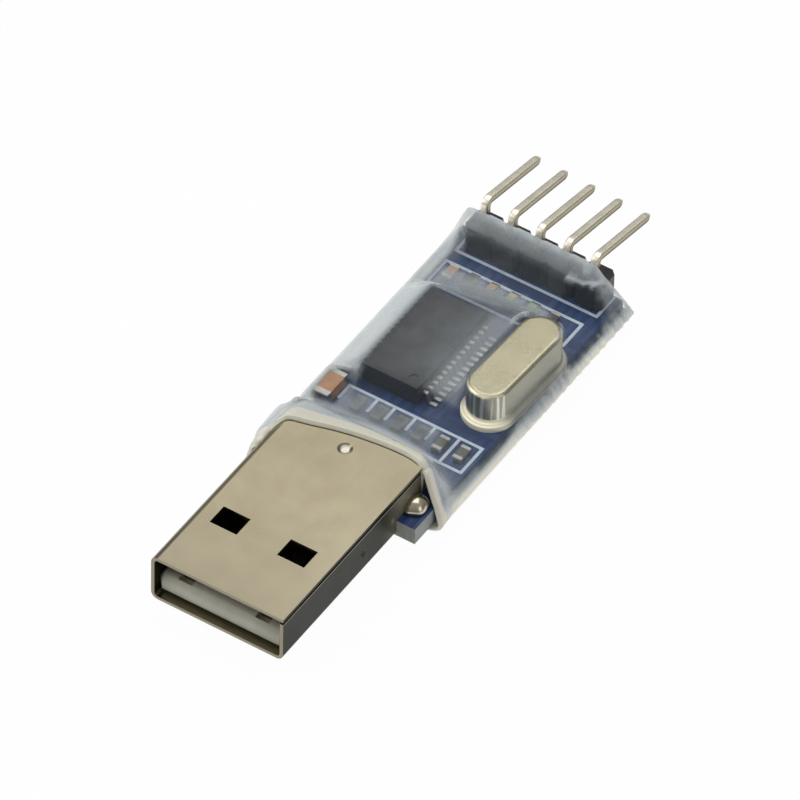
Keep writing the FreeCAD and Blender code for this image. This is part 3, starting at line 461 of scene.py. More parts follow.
# Board: navy lacquer over faint tracks, and a pale glass-fibre cut edge, navy where the film covers it
boardLook = {"lacquer": (0.010, 0.034, 0.125), "track": (0.018, 0.056, 0.175), "edge": (0.42, 0.44, 0.40),
             "edgeWorn": (0.30, 0.33, 0.33), "covered": (0.020, 0.050, 0.13), "coveredFrom": (18.0, 19.0),
             "pitch": 0.85, "pitchLong": 1.445, "trackLong": (0.30, 0.20), "trackAcross": (0.20, 0.12),
             "wander": 0.9, "wanderScale": 140.0, "patch": 170.0, "patchEdge": (0.47, 0.53),
             "fibre": 3000.0, "fibreEdge": (0.35, 0.65), "turned": (0.4, 0.6),
             "grain": 4000.0, "relief": 0.02}


def boardFinish(look):
    # Tracks run along the board in some patches and across it in the others, at an even pitch
    material, place = newFinish("board_blue")
    x, y = place.part(0), place.part(1)
    wander = place.noise(look["wanderScale"], 1.0) * look["wander"] * mm
    across = (x + wander) / (look["pitch"] * mm)
    along = (y + 2 * wander) / (look["pitchLong"] * mm)
    lineX = (across.fraction() - 0.5).size().step(*look["trackLong"])
    lineY = (along.fraction() - 0.5).size().step(*look["trackAcross"])
    patch = place.noise(look["patch"], 0.0).step(*look["patchEdge"])
    track = (lineX * patch).most(lineY * (1 - patch))
    flat = place.normal().part(2).size().step(*look["turned"])
    sideways = place.normal().part(0).size().step(*look["turned"])
    fibre = place.noise(look["fibre"], 3.0, 0.6, (1, 1, 5)).step(*look["fibreEdge"])
    edge = fibre.between(look["edge"], look["edgeWorn"])
    edge = (y.past(*look["coveredFrom"]) * sideways).between(edge, look["covered"])
    grain = place.noise(look["grain"], 2.0)
    shade(place, {"Base Color": flat.between(edge, track.between(look["lacquer"], look["track"])),
                  "Roughness": 0.2 * grain + 0.28 + 0.3 * (1 - flat),
                  "Normal": place.bump(track + 0.3 * grain, look["relief"])})
    return material


# Film: clear where it lies on a part, milky where it spans, folds or ends. The mesh keeps its haze, which
# makes it dense and at its ends cream, and its glow, a painted light: emission standing in for the light
# that its upright sides scatter and for the highlight round the can
filmLook = {"tint": (0.64, 0.69, 0.69), "cold": (0.55, 0.61, 0.66), "cream": (0.75, 0.73, 0.60),
            "creamFrom": (0.72, 0.92), "clear": 0.02, "glow": (0.15, 0.148, 0.128), "rough": (0.16, 0.30),
            "cloud": 420.0, "cloudShare": 0.16, "fine": 2600.0, "fineShare": 0.06, "coat": 0.3,
            "relief": 0.03}


def filmFinish(look):
    material, place = newFinish("sleeve_film")
    haze = place.attribute("haze")
    cloud = place.noise(look["cloud"], 4.0, 0.6)
    fine = place.noise(look["fine"], 2.0, 0.55)
    dense = haze + (cloud - 0.5) * look["cloudShare"] + (fine - 0.5) * look["fineShare"]
    pale = cloud.spread().between(look["tint"], look["cold"])
    # Painted light: the kept glow, made to shine as emission
    glow = place.attribute("glow") * (0.6 + 0.8 * fine)
    shade(place, {"Base Color": haze.step(*look["creamFrom"]).between(pale, look["cream"]),
                  "Emission Color": glow.between((0, 0, 0), look["glow"]),
                  "Emission Strength": 1.0,
                  "Roughness": (0.5 * cloud + 0.5 * fine).spread(*look["rough"]),
                  "Alpha": dense.step(0.0, 1.0, look["clear"], 1.0),
                  "Coat Weight": look["coat"],
                  "Normal": place.bump(cloud + 0.3 * fine, look["relief"])})
    return material


finishes = {name: plainFinish(name, look) for name, look in looks.items()}
finishes.update(plug_metal=shellFinish(shellLook), plug_plastic=ivoryFinish(ivoryLook),
                pin_metal=pinFinish(pinLook), crystal_metal=crystalFinish(crystalLook),
                tinned_metal=tinFinish(tinLook), capacitor_tan=ceramicFinish(ceramicLook),
                board_blue=boardFinish(boardLook), sleeve_film=filmFinish(filmLook))
for part in frame["record"]["subparts"]:
    slots = frame["nodes"][part["node"]].data.materials
    if len(slots) == 0:
        slots.append(None)
    for index in range(len(slots)):
        slots[index] = finishes[part["material_slot"]]


def boxOf(name):
    low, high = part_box(name)
    return np.array(low) / mm, np.array(high) / mm


pinBoxes = [boxOf("header_pin_%d" % (index + 1)) for index in range(5)]

# White print on the board: a box round each row of small parts, and one round the header, open at the
# back. The front one has posts, and its near line and left side stand farther right than its back line
printing = {
    "width": 0.26, "height": 0.015, "sunk": 0.01, "apart": 0.002,
    "front": {"back": 25.8, "near": 22.75, "left": -4.9, "right": 7.28, "nearFrom": 3.0, "side": 5.28,
              "posts": (3.05, 1.27, -0.65, -2.25, -4.9), "postFrom": 24.3, "closed": True},
    "rear": {"back": 41.42, "near": 38.7, "left": -6.1, "right": 6.46, "closed": True},
    "header": {"back": 45.3, "near": 42.78, "left": -6.1, "right": 6.94, "closed": False},
}


def lineBoxes(lines, width, low, high):
    # Each line is a flat box: its ends pushed out along and across by half the width, at two heights
    ends = np.array(lines, float).reshape(-1, 2, 2)
    along = ends[:, 1] - ends[:, 0]
    along *= width / 2 / np.linalg.norm(along, axis=1, keepdims=True)
    across = np.stack([-along[:, 1], along[:, 0]], -1)
    plan = np.stack([ends[:, 0] - along - across, ends[:, 1] + along - across,
                     ends[:, 1] + along + across, ends[:, 0] - along + across], 1)
    # The tops lie a hair apart, so that crossing lines don't share a surface
    count = len(ends)
    level = np.stack([np.full(count, low), high + printing["apart"] * np.arange(count)], -1)
    level = np.broadcast_to(level[:, :, None, None], (count, 2, 4, 1))
    points = np.concatenate([np.broadcast_to(plan[:, None], (count, 2, 4, 2)), level], -1).reshape(-1, 3)
    one = np.array([(3, 2, 1, 0), (4, 5, 6, 7), (0, 1, 5, 4), (1, 2, 6, 5), (2, 3, 7, 6), (3, 0, 4, 7)])
    faces = (one[None] + 8 * np.arange(count)[:, None, None]).reshape(-1, 4)
    return points, faces


def boardPrint():
    lines = []
    for name in ("front", "rear", "header"):
        box = printing[name]
        left, right, near, back = (box[key] for key in ("left", "right", "near", "back"))
        nearFrom, side = box.get("nearFrom", left), box.get("side", left)
        lines += [(nearFrom, near, right, near), (side, near, side, back), (right, near, right, back)]
        lines += [(x, box["postFrom"], x, back) for x in box.get("posts", ())]
        if box["closed"]:
            lines.append((left, back, right, back))
    top = boxOf("circuit_board")[1][2]
    return lineBoxes(lines, printing["width"], top - printing["sunk"], top + printing["height"])


printLook = {**plain, "tones": ((0.66, 0.76, 0.84), (0.54, 0.64, 0.74)), "rough": (0.45, 0.6),
             "cloud": 1500, "grain": 9000, "relief": 0.004}
printFinish = plainFinish("board_print", printLook)
boardInk = meshPiece("board_print", *boardPrint(), "board_blue", printFinish, False)
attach(boardInk, "root")
print("print laid on the board")

# Crystal's can: drawn metal with a rounded rim, and a flange with a half-round edge at its foot
can = {"half": 3.275, "turn": -2.5, "radius": 1.85, "rim": 0.40, "flange": 2.25, "edge": 0.14, "neck": 0.13,
       "wall": 0.25, "chamfer": 0.12, "ease": 0.04, "flat": 0.40, "around": 120}


def arcOf(middleX, middleZ, radius, start, end, count):
    turn = np.radians(np.linspace(start, end, count))
    return np.stack([middleX + radius * np.cos(turn), middleZ + radius * np.sin(turn)], -1)


def crystalCan():
    # A profile of distances and heights, swept round a stadium: at angle a each point lies at its distance
    # times (cos a, sin a) from the nearer end of the middle line; both ends of the profile are capped
    low, high = boxOf("crystal_can")
    top, foot, r, out = high[2], low[2], can["radius"], can["flange"]
    rim, edge, neck, wall = (can[key] for key in ("rim", "edge", "neck", "wall"))
    chamfer, ease = can["chamfer"], can["ease"]
    profile = np.concatenate([
        [(r - rim - can["flat"], top), (r - rim - ease, top)],
        arcOf(r - rim, top - rim, rim, 90, 0, 10),
        [(r, foot + 2 * edge + neck + ease)],
        arcOf(r + neck, foot + 2 * edge + neck, neck, 180, 270, 6),
        arcOf(out - edge, foot + edge, edge, 90, -90, 10),
        [(r - wall, foot), (r - wall, top - wall - chamfer), (r - wall - chamfer, top - wall)]])
    half = can["around"] // 2
    angle = np.concatenate([np.linspace(0, math.pi, half), np.linspace(math.pi, 2 * math.pi, half)])
    end = np.repeat([can["half"], -can["half"]], half)
    x = profile[:, :1] * np.cos(angle)
    y = profile[:, :1] * np.sin(angle) + end
    z = np.broadcast_to(profile[:, 1:], x.shape)
    turn = math.radians(can["turn"])
    middle = (low + high) / 2
    points = np.stack([middle[0] + x * math.cos(turn) - y * math.sin(turn),
                       middle[1] + x * math.sin(turn) + y * math.cos(turn), z], -1)
    return points.reshape(-1, 3), cappedFaces(*x.shape)


canPiece = meshPiece("crystal_case", *crystalCan(), "crystal_metal", finishes["crystal_metal"])
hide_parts("crystal_can")
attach(canPiece, "root")
print("can drawn")

# Header pins: square wire with eased corners, bent over the header and rounded at its tip
pinWire = {"half": 0.32, "power": 5.5, "centre": 0.32, "bend": 0.45, "droop": 9.0, "run": 7.0513,
           "lean": 0.25, "foot": 0.8, "rise": 0.1, "straight": (0.5, 3.3513), "tip": 0.75, "tipPower": 2.0,
           "tipEnd": 0.985, "around": 32}


def bentPin(index):
    # A superellipse, of cosine and sine each to the power 2 over the given one, is swept up, round the bend
    # and along the droop, and near the tip shrinks as the root of one less a power of the way on
    low, high = pinBoxes[index]
    w = pinWire
    droop, r = math.radians(w["droop"]), w["bend"]
    x, y, bend = (low[0] + high[0]) / 2, low[1] + w["centre"], high[2] - w["half"] - r
    turn = np.linspace(0, math.pi / 2 + droop, 14)
    t = np.sin(np.linspace(0, math.pi / 2, 12)) * w["tipEnd"]
    along = np.concatenate([w["straight"], w["run"] - w["tip"] + w["tip"] * t])
    pathY = np.concatenate([[y, y, y], y + r - r * np.cos(turn),
                            y + r + r * math.sin(droop) + along * math.cos(droop)])
    pathZ = np.concatenate([[low[2], low[2] + w["rise"], bend - w["rise"]], bend + r * np.sin(turn),
                            bend + r * math.cos(droop) - along * math.sin(droop)])
    lean = np.concatenate([[0, 0, 0], turn, np.full(len(along), math.pi / 2 + droop)])[:, None]
    shrink = (1 - t ** w["tipPower"]) ** (1 / w["tipPower"])
    size = np.concatenate([[w["foot"]], np.ones(len(lean) - 1 - len(t)), shrink])[:, None]
    drift = w["lean"] * np.concatenate([np.zeros(3 + len(turn)), along / along[-1]])[:, None]
    angle = np.linspace(0, 2 * math.pi, w["around"], endpoint=False) + math.pi / w["around"]
    sideways, outward = (size * w["half"] * np.sign(wave) * np.abs(wave) ** (2 / w["power"])
                         for wave in (np.cos(angle), np.sin(angle)))
    points = np.stack([x + drift + sideways, pathY[:, None] - outward * np.cos(lean),
                       pathZ[:, None] + outward * np.sin(lean)], -1)
    return points.reshape(-1, 3), cappedFaces(*outward.shape)


for index in range(5):
    pin = meshPiece("bent_pin_%d" % (index + 1), *bentPin(index), "pin_metal", finishes["pin_metal"])
    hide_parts("header_pin_%d" % (index + 1))
    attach(pin, "root")
print("pins bent")

# Solder between the shell and the board: a low shining dome on each side, leaning on the shell
dome = {"inset": 0.68, "wide": (0.60, 1.22), "long": (0.9, 1.30), "power": 2.0, "top": 0.03, "uneven": 0.06,
        "rings": 18, "around": 48}


def solderDomes():
    # Height over the board is the dome's height times one less the distance to a power, all to one over it;
    # the outline wavers with the angle by a small share of its reach
    low, high = boxOf("shell_solder")
    foot = boxOf("circuit_board")[1][2]
    near = np.linspace(dome["top"], 1, dome["rings"])[:, None]
    angle = np.linspace(0, 2 * math.pi, dome["around"], endpoint=False)[None]
    reach = near * (1 - dome["uneven"] * (1 + np.sin(2 * angle + 1) * np.cos(3 * angle)))
    rise = (1 - near ** dome["power"]) ** (1 / dome["power"])
    middles = low[0] + dome["inset"], high[0] - dome["inset"]
    points, faces = [], []
    for middle, wide, deep in zip(middles, dome["wide"], dome["long"]):
        x = middle + wide * reach * np.cos(angle)
        y = (low[1] + high[1]) / 2 + deep * reach * np.sin(angle)
        z = np.broadcast_to(foot + (high[2] - foot) * rise, x.shape)
        faces += cappedFaces(*x.shape, len(points) * x.size)
        points.append(np.stack([x, y, z], -1).reshape(-1, 3))
    return np.concatenate(points), faces


solderPiece = meshPiece("shell_fillets", *solderDomes(), "solder", finishes["solder"])
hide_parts("shell_solder")
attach(solderPiece, "root")
print("solder laid beside the plug")

# Shrunk sleeve: a taut skin over everything on the board, open at the plug and at the pins. Its sides and
# its lines at the plug run from place to place in plan
sleeve = {
    "step": 0.13, "front": 13.6, "rear": 47.2, "samples": 131, "columns": 126, "rows": 270, "innerRows": 70,
    "rimRows": 4, "gap": 0.05, "wall": 0.20, "lip": 0.34, "lipReach": 0.9, "rimDraw": 0.8,
    "rounds": 900, "across": 1.0, "along": 0.07, "over": 1.85,
    "grow": 0.15, "growPlate": 0.1, "growHeader": 0.05, "leadRise": 0.35, "flangeRise": 0.45,
    "leftSide": ((13.6, -6.35), (14.3, -6.85), (14.8, -7.22), (18.0, -7.36), (20.0, -7.37), (47.2, -7.37)),
    "rightSide": ((13.6, 6.9), (15.2, 7.6), (16.4, 8.10), (18.0, 8.30), (20.0, 8.36), (46.0, 8.36),
                  (47.2, 8.3)),
    "leftMiddle": 0.7, "rightMiddle": 0.2, "floor": 0.3, "underGap": 0.02, "underLift": 0.2,
    "mostLift": 3.0,
    "flap": ((-6.8, 15.9), (-6.0, 19.2), 3.95),
    "lipLine": ((-6.9, 14.2), (-6.3, 14.35), (-6.0, 15.0), (-5.85, 16.2), (-5.72, 17.2), (-5.58, 17.85),
                (-4.46, 18.15), (-3.41, 18.42), (-1.85, 18.90), (-0.07, 19.27), (1.75, 19.54), (3.02, 19.65),
                (4.33, 19.68), (5.3, 19.55), (6.0, 19.25), (7.0, 18.75), (8.2, 18.3)),
    "underLine": ((-7.0, 14.2), (8.2, 18.1)), "lipStart": 18.0,
    "corner": {"radius": 0.6, "from": 5.4, "most": 0.58, "across": (6.2, 6.08), "along": (2.75, 0.55)},
    "pinRise": 5.50, "pinAhead": 0.05, "pinBehind": 2.5, "betweenPins": 0.08, "besidePin": (0.45, 0.75),
    "rearEdge": 44.12, "rearAt": 44.1, "slopeFrom": 4.5, "slope": 0.42, "slopeMost": 2.25,
    "ripple": 0.030, "rippleX": (7.2, 8.0), "rippleY": (24.0, 40.0, 0.12),
    "rippleZ": ((-0.4, 0.0), (2.6, 1.8)),
}
# Milkiness: what each cause adds, and where it starts and ends, or its middle and its width
milk = {
    "base": 0.06, "span": 0.12, "spanTo": (0.0, 1.2), "upright": 0.10, "sunk": 0.55, "sunkTo": (1.4, 0.4),
    "behindLip": 0.36, "behindLipAt": (1.5, 0.9), "rearRim": 0.30, "rearRimAt": (0.0, 0.30), "most": 0.68,
    "lip": 0.80, "lipWide": ((-6.5, 0.90), (0.0, 0.42), (6.5, 0.28)), "lipSoft": (0.0, 0.30),
    "arc": 0.35, "arcAt": (1.95, 0.11), "arcLean": 2.5, "arcPast": (2.4, 3.2), "arcOver": (2.0, 2.4),
    "band": 0.30, "bandX": (7.97, 8.17), "bandZ": (2.5, 2.2), "ripple": 0.08,
    "bandY": ((18.0, 21.0, 0.25), (45.5, 41.5, 0.4)),
    # besideCan, canShade, glowRipple and leftGlow shape the painted glow
    "besideCan": (34.0, 4.0, 4), "canShade": 0.85, "glowRipple": 0.12, "leftGlow": 0.60,
    "leftGlowTo": (-5.0, -5.8), "densest": 0.95,
}
# Milky and clearer areas: from x to x, from y to y, width of the soft edge, and what it adds or keeps
milky = [
    (-6.4, 5.2, 18.0, 22.3, 0.8, 0.32), (-6.4, 4.3, 22.3, 24.5, 0.8, 0.09),
    (1.7, 4.6, 24.6, 35.8, 1.5, 0.15), (-9.0, -6.1, 16.5, 46.0, 0.8, 0.50),
    (-5.6, 4.6, 37.0, 40.4, 0.8, 0.27), (-7.0, 7.0, 43.1, 46.0, 0.35, 0.20),
    (4.8, 9.0, 18.0, 22.2, 0.8, 0.07), (3.8, 4.6, 36.6, 38.4, 0.5, 0.30),
    (-9.0, -4.55, 26.1, 38.0, 0.5, 0.50),
]
clearer = [
    (-4.0, 5.6, 24.9, 27.0, 0.5, 0.12), (-5.0, 7.4, 40.9, 43.0, 0.7, 0.45),
    (4.2, 7.4, 41.2, 43.1, 0.4, 0.05), (-6.4, -4.2, 22.6, 25.3, 0.5, 0.12),
    (4.2, 8.3, 24.2, 42.0, 0.6, 0.35),
]
# Creases: from a place to a place, half width, and what they add
creases = [
    (4.0, 43.10, 5.5, 43.16, 0.09, 0.60), (5.5, 43.16, 6.4, 43.50, 0.10, 0.50),
    (5.2, 43.85, 5.5, 43.90, 0.16, 0.55), (6.2, 43.2, 6.9, 44.2, 0.14, 0.45),
    (-5.6, 20.25, 0.5, 21.2, 0.10, -0.12), (0.5, 21.2, 4.8, 20.8, 0.10, -0.12),
]


def ramp(value, start, end, least=0.0):
    # Rises in a straight line from 0 at start to 1 at end, and is never under least
    return np.clip((value - start) / (end - start), least, 1)


def bell(value, middle, width, power=2):
    # e to minus the distance from the middle, in widths, to the given power
    return np.exp(-np.abs((value - middle) / width) ** power)


def raiseBlock(ground, x, y, low, high, top, grow):
    inside = (x > low[0] - grow) & (x < high[0] + grow) & (y > low[1] - grow) & (y < high[1] + grow)
    return np.where(inside, np.maximum(ground, top), ground)


def tautSkin(ground, leftEdge, rightEdge, rounds):
    # Each height moves to the mean of its four neighbours, weighted across and along, and past it by a
    # share that speeds it up, but never below the ground; the two side edges stay where they are
    skin = np.maximum(ground, np.linspace(leftEdge, rightEdge, ground.shape[1])[None])
    row, column = np.indices(ground.shape)
    across, along = sleeve["across"], sleeve["along"]
    for turn in range(rounds):
        for colour in (0, 1):
            beside = np.zeros_like(skin)
            beside[:, 1:-1] = skin[:, 2:] + skin[:, :-2]
            behind = np.empty_like(skin)
            behind[1:-1] = skin[2:] + skin[:-2]
            behind[0] = 2 * skin[1]
            behind[-1] = 2 * skin[-2]
            mean = (across * beside + along * behind) / (2 * across + 2 * along)
            moved = np.maximum(ground, skin + sleeve["over"] * (mean - skin))
            moved[:, 0], moved[:, -1] = leftEdge, rightEdge
            skin = np.where((row + column) % 2 == colour, moved, skin)
    return skin


def topGround(x, y):
    # Height of the highest part under each place, with the film's gap over it
    gap, plate, grow = sleeve["gap"], sleeve["growPlate"], sleeve["growHeader"]
    boardLow, boardHigh = boxOf("circuit_board")
    shellLow, shellHigh = boxOf("usb_shell")
    ground = np.full(x.shape, sleeve["rightMiddle"] - sleeve["floor"])
    ground = raiseBlock(ground, x, y, boardLow, boardHigh, boardHigh[2] + gap, plate)
    ground = raiseBlock(ground, x, y, shellLow, shellHigh, shellHigh[2] + gap, plate)
    ground = raiseBlock(ground, x, y, *sleeve["flap"], plate)
    counted = {"resistor": 6, "capacitor": 3, "indicator_lamp": 3}
    small = ["%s_%d" % (name, index + 1) for name, count in counted.items() for index in range(count)]
    for name in small + ["big_capacitor_body", "big_capacitor_ends", "chip_body"]:
        low, high = boxOf(name)
        ground = raiseBlock(ground, x, y, low, high, high[2] + gap, sleeve["grow"])
    for name in ("chip_leads_left", "chip_leads_right"):
        ground = raiseBlock(ground, x, y, *boxOf(name), boardHigh[2] + sleeve["leadRise"], sleeve["grow"])
    # The can is a stadium: far is the distance from its middle line
    low, high = boxOf("crystal_can")
    middle, turn = (low + high) / 2, math.radians(can["turn"])
    u = (x - middle[0]) * math.cos(turn) + (y - middle[1]) * math.sin(turn)
    v = -(x - middle[0]) * math.sin(turn) + (y - middle[1]) * math.cos(turn)
    far = np.hypot(u, np.maximum(np.abs(v) - (high[1] - low[1] - (high[0] - low[0])) / 2, 0))
    ground = np.where(far < can["radius"] + plate, np.maximum(ground, high[2] + gap), ground)
    ground = np.where(far < can["flange"] + plate, np.maximum(ground, low[2] + sleeve["flangeRise"]), ground)
    low, high = boxOf("header_housing")
    ground = raiseBlock(ground, x, y, low, high, high[2] + gap, grow)
    # The film climbs each pin to its bend, and stays as high from the first one to the header's left end
    first = pinBoxes[0][0]
    near, far = first[1] - sleeve["pinAhead"], first[1] + sleeve["pinBehind"]
    for left, right in [(pin[0][0], pin[1][0]) for pin in pinBoxes] + [(low[0], first[0])]:
        ground = raiseBlock(ground, x, y, (left, near), (right, far), sleeve["pinRise"], grow)
    return ground


def underGround(x, y):
    # The same below the board, measured downward
    ground = np.full(x.shape, -sleeve["leftMiddle"] - sleeve["floor"])
    for name in ("circuit_board", "usb_shell"):
        ground = raiseBlock(ground, x, y, *boxOf(name), sleeve["gap"], sleeve["growPlate"])
    for name in ("header_solder", "contact_solder", "crystal_solder"):
        low, high = boxOf(name)
        ground = raiseBlock(ground, x, y, low, high, -low[2] + sleeve["underGap"], 0.0)
    return ground


def evenHalf(x, z, count):
    # One half of each section, sampled again at even steps of its length
    run = np.concatenate([np.zeros((len(x), 1)), np.cumsum(np.hypot(np.diff(x), np.diff(z)), 1)], 1)
    wanted = np.linspace(0, 1, count)
    pairs = [[np.interp(wanted * r[-1], r, part) for part in (a, b)] for r, a, b in zip(run, x, z)]
    return np.array(pairs).transpose(1, 0, 2)


def soften(values, times, closed):
    # Each value moves half way to the mean of its neighbours, round a section or along the board
    for turn in range(times):
        if closed:
            values = 0.5 * values + 0.25 * (np.roll(values, 1, 1) + np.roll(values, -1, 1))
        else:
            inner = 0.5 * values[1:-1] + 0.25 * (values[:-2] + values[2:])
            values = np.concatenate([values[:1], inner, values[-1:]])
    return values


def sleeveSections():
    # Top and underside skins between the two sides, joined to closed sections at even steps along the board
    y = np.arange(sleeve["front"], sleeve["rear"] + 0.01, sleeve["step"])
    u = np.linspace(0, 1, sleeve["samples"])
    left = np.interp(y, *np.transpose(sleeve["leftSide"]))
    right = np.interp(y, *np.transpose(sleeve["rightSide"]))
    x = left[:, None] + (right - left)[:, None] * u[None]
    along = np.broadcast_to(y[:, None], x.shape)
    leftMiddle, rightMiddle = sleeve["leftMiddle"], sleeve["rightMiddle"]
    top = tautSkin(topGround(x, along), leftMiddle, rightMiddle, sleeve["rounds"])
    under = -tautSkin(underGround(x, along), -leftMiddle, -rightMiddle, sleeve["rounds"] // 3)
    half = sleeve["columns"]
    halves = evenHalf(x, top, half), evenHalf(x[:, ::-1], under[:, ::-1], half)
    rings = [np.concatenate([part[axis][:, :-1] for part in halves], 1) for axis in (0, 1)]
    ringX, ringZ = (soften(soften(ring, 3, True), 2, False) for ring in rings)
    ground = topGround(ringX, np.broadcast_to(y[:, None], ringX.shape))
    lift = np.where(np.arange(ringX.shape[1])[None] < half, ringZ - ground, sleeve["underLift"])
    return y, ringX, ringZ, np.clip(lift, 0, sleeve["mostLift"])


def sleeveEdges(y, ringX, ringZ):
    # Where the film starts and ends along each column: the lip's line at the plug, the slope at the pins
    columns = ringX.shape[1]
    number = np.arange(columns)
    isTop = number < sleeve["columns"]
    front = np.full(columns, sleeve["lipStart"])
    for turn in range(4):
        x = ringX[np.searchsorted(y, front), number]
        lip, below = (np.interp(x, *np.transpose(sleeve[key])) for key in ("lipLine", "underLine"))
        front = np.where(isTop, lip, below)
    at = np.searchsorted(y, sleeve["rearAt"])
    x, z = ringX[at], ringZ[at]
    rear = sleeve["rearEdge"] + np.clip((sleeve["slopeFrom"] - z) * sleeve["slope"], 0, sleeve["slopeMost"])
    pins = np.mean(pinBoxes, 1)[:, 0]
    free = np.min(np.abs(x[:, None] - pins[None]), 1)
    between = ramp(free, *sleeve["besidePin"]) * (x > pins[0]) * (x < pins[-1]) * isTop
    return soften(front[None], 4, True)[0], soften(rear[None], 3, True)[0] + sleeve["betweenPins"] * between


def sleeveGrid():
    # Rows from the lip to the rear edge: x, y and z, the film's height over the parts, the way from the lip
    # and to the rear edge, and whether it is the top half
    y, ringX, ringZ, lift = sleeveSections()
    front, rear = sleeveEdges(y, ringX, ringZ)
    along = front[None] + np.linspace(0, 1, sleeve["rows"])[:, None] * (rear - front)[None]
    place = (along - y[0]) / sleeve["step"]
    low = np.clip(np.floor(place).astype(int), 0, len(y) - 2)
    share = place - low
    number = np.arange(ringX.shape[1])[None]
    x, z, gap = (values[low, number] * (1 - share) + values[low + 1, number] * share
                 for values in (ringX, ringZ, lift))
    away, isTop, corner = along - front[None], number < sleeve["columns"], sleeve["corner"]
    # On the plug the film follows the shell's rounded edge: it drops by the radius less the root of the
    # radius squared less the way past the flat squared
    past = np.clip(np.abs(x) - corner["from"], 0, corner["most"])
    drop = gap + sleeve["gap"] + corner["radius"] - np.sqrt(corner["radius"] ** 2 - past ** 2)
    z = z - drop * isTop * ramp(np.abs(x), *corner["across"]) * ramp(away, *corner["along"])
    return x, along, z, gap, away, rear[None] - along, isTop


def nearCrease(x, y, crease):
    ax, ay, bx, by, width, amount = crease
    part = np.clip(((x - ax) * (bx - ax) + (y - ay) * (by - ay)) / ((bx - ax) ** 2 + (by - ay) ** 2), 0, 1)
    return amount * bell(np.hypot(x - ax - part * (bx - ax), y - ay - part * (by - ay)), 0, width)


def softBox(x, y, area):
    left, right, near, far, soft = area[:5]
    rise = [np.clip(0.5 + part / soft, 0, 1) for part in (x - left, right - x, y - near, far - y)]
    return np.prod([part * part * (3 - 2 * part) for part in rise], axis=0)


def filmMilk(grid, normal, ripples):
    # The film's haze and its painted glow at each place, as shares of one
    x, y, z, gap, away, behind, isTop = grid
    sunk = ramp(z, *milk["sunkTo"])
    haze = milk["base"] + milk["span"] * ramp(gap, *milk["spanTo"]) + milk["sunk"] * sunk
    haze += milk["upright"] * np.abs(normal[..., 0]) * (1 - sunk)
    for area in milky:
        haze += area[5] * softBox(x, y, area) * (1 - sunk)
    for area in clearer:
        haze *= 1 - (1 - area[5]) * softBox(x, y, area) * (1 - sunk)
    for crease in creases:
        haze += nearCrease(x, y, crease) * isTop
    haze += milk["behindLip"] * bell(away, *milk["behindLipAt"])
    haze += milk["rearRim"] * bell(behind, *milk["rearRimAt"])
    lipWide = np.interp(x, *np.transpose(milk["lipWide"]))
    lip = bell(np.maximum(away - lipWide, 0), *milk["lipSoft"])
    # Painted highlights: an arc of light round the can's rear end, and a band of it down the right side,
    # added to the haze and to the painted glow
    low, high = boxOf("crystal_can")
    canX, canY = (low + high)[:2] / 2
    ahead = y - canY
    sideways = x - canX + ahead * math.sin(math.radians(milk["arcLean"]))
    arc = bell(np.hypot(sideways, np.maximum(np.abs(ahead) - can["half"], 0)), *milk["arcAt"])
    arc *= ramp(ahead, *milk["arcPast"]) * ramp(z, *milk["arcOver"])
    frontEnd, rearEnd = milk["bandY"]
    band = ramp(x, *milk["bandX"]) * ramp(z, *milk["bandZ"]) * ramp(y, *frontEnd) * ramp(y, *rearEnd)
    haze = np.minimum(haze, milk["most"]) + milk["lip"] * lip + milk["ripple"] * ripples
    haze += milk["arc"] * arc + milk["band"] * band
    # Painted glow: the band, dimmed beside the can as painted shade, the left side, and the arc
    glow = band * (1 - milk["canShade"] * bell(y, *milk["besideCan"])) * (1 + milk["glowRipple"] * ripples)
    glow += milk["leftGlow"] * ramp(x, *milk["leftGlowTo"]) + arc
    return np.clip(haze, 0, milk["densest"]), np.clip(glow, 0, 1)


def filmRim(inner, normal, forward, thick, sign):
    # Half circle from one wall to the other round an end of the film; the one on the plug is drawn forward
    turn = np.linspace(0, math.pi, sleeve["rimRows"] + 2)[1:-1, None, None]
    ahead = forward / (np.linalg.norm(forward, axis=-1, keepdims=True) + 1e-9)
    half = (thick * 0.5)[:, None]
    reach = np.sin(turn) if sign > 0 else sleeve["rimDraw"] * (1 + np.cos(turn)) * np.sin(turn) ** 0.5
    return (inner + normal * half)[None] + sign * half * (np.cos(turn) * normal[None] + reach * ahead[None])


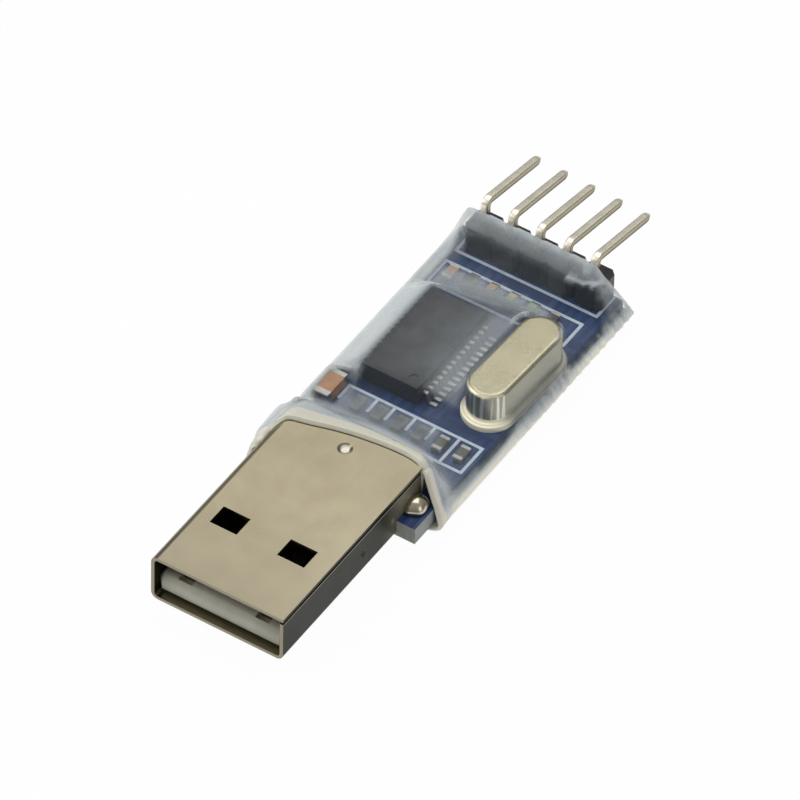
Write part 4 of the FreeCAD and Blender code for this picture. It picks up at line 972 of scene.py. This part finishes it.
def shrunkSleeve():
    # Rows run from the plug to the pins on the outside, round the rear rim, back along the inside, and
    # round the front rim; columns run round the section. The outside lies a wall's thickness outward.
    grid = sleeveGrid()
    x, y, z, gap, away = grid[:5]
    inner = np.stack([x, y, z], -1)
    forward = np.gradient(inner, axis=0)
    normal = np.cross(np.roll(inner, -1, 1) - np.roll(inner, 1, 1), forward)
    normal /= np.linalg.norm(normal, axis=-1, keepdims=True) + 1e-9
    # Ripples down the right side: a sum of three sines of y and z
    waves = (np.sin(5.3 * y + 1.7 * z) + 0.8 * np.sin(8.9 * y + 2.0 + 2.4 * z + np.sin(1.3 * y))
             + 0.6 * np.sin(14.7 * y - 3.1 * z))
    ripples = waves * ramp(x, *sleeve["rippleX"]) * ramp(y, *sleeve["rippleY"])
    for edge in sleeve["rippleZ"]:
        ripples = ripples * ramp(z, *edge)
    inner = inner + normal * (sleeve["ripple"] * ripples)[..., None]
    thick = sleeve["wall"] + (sleeve["lip"] - sleeve["wall"]) * bell(away, 0, sleeve["lipReach"])
    outer = inner + normal * thick[..., None]
    fewer = np.linspace(sleeve["rows"] - 1, 0, sleeve["innerRows"]).astype(int)
    rearRim, frontRim = (filmRim(inner[row], normal[row], forward[row], thick[row], sign)
                         for row, sign in ((-1, 1), (0, -1)))
    whole = np.concatenate([outer, rearRim, inner[fewer], frontRim])
    rim = sleeve["rimRows"]
    haze, glow = (np.concatenate([part, np.repeat(part[-1:], rim, 0), part[fewer],
                                  np.repeat(part[:1], rim, 0)]) for part in filmMilk(grid, normal, ripples))
    faces = ringFaces(len(whole), whole.shape[1], True)
    return whole.reshape(-1, 3), faces, haze.reshape(-1), glow.reshape(-1)


sleevePoints, sleeveFaces, sleeveHaze, sleeveGlow = shrunkSleeve()
film = meshPiece("shrink_sleeve", sleevePoints, sleeveFaces, "sleeve_film", finishes["sleeve_film"])
film.data.attributes.new("haze", "FLOAT", "POINT").data.foreach_set("value", sleeveHaze)
film.data.attributes.new("glow", "FLOAT", "POINT").data.foreach_set("value", sleeveGlow)
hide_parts("heat_shrink_sleeve")
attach(film, "root")
print("sleeve drawn over the parts")
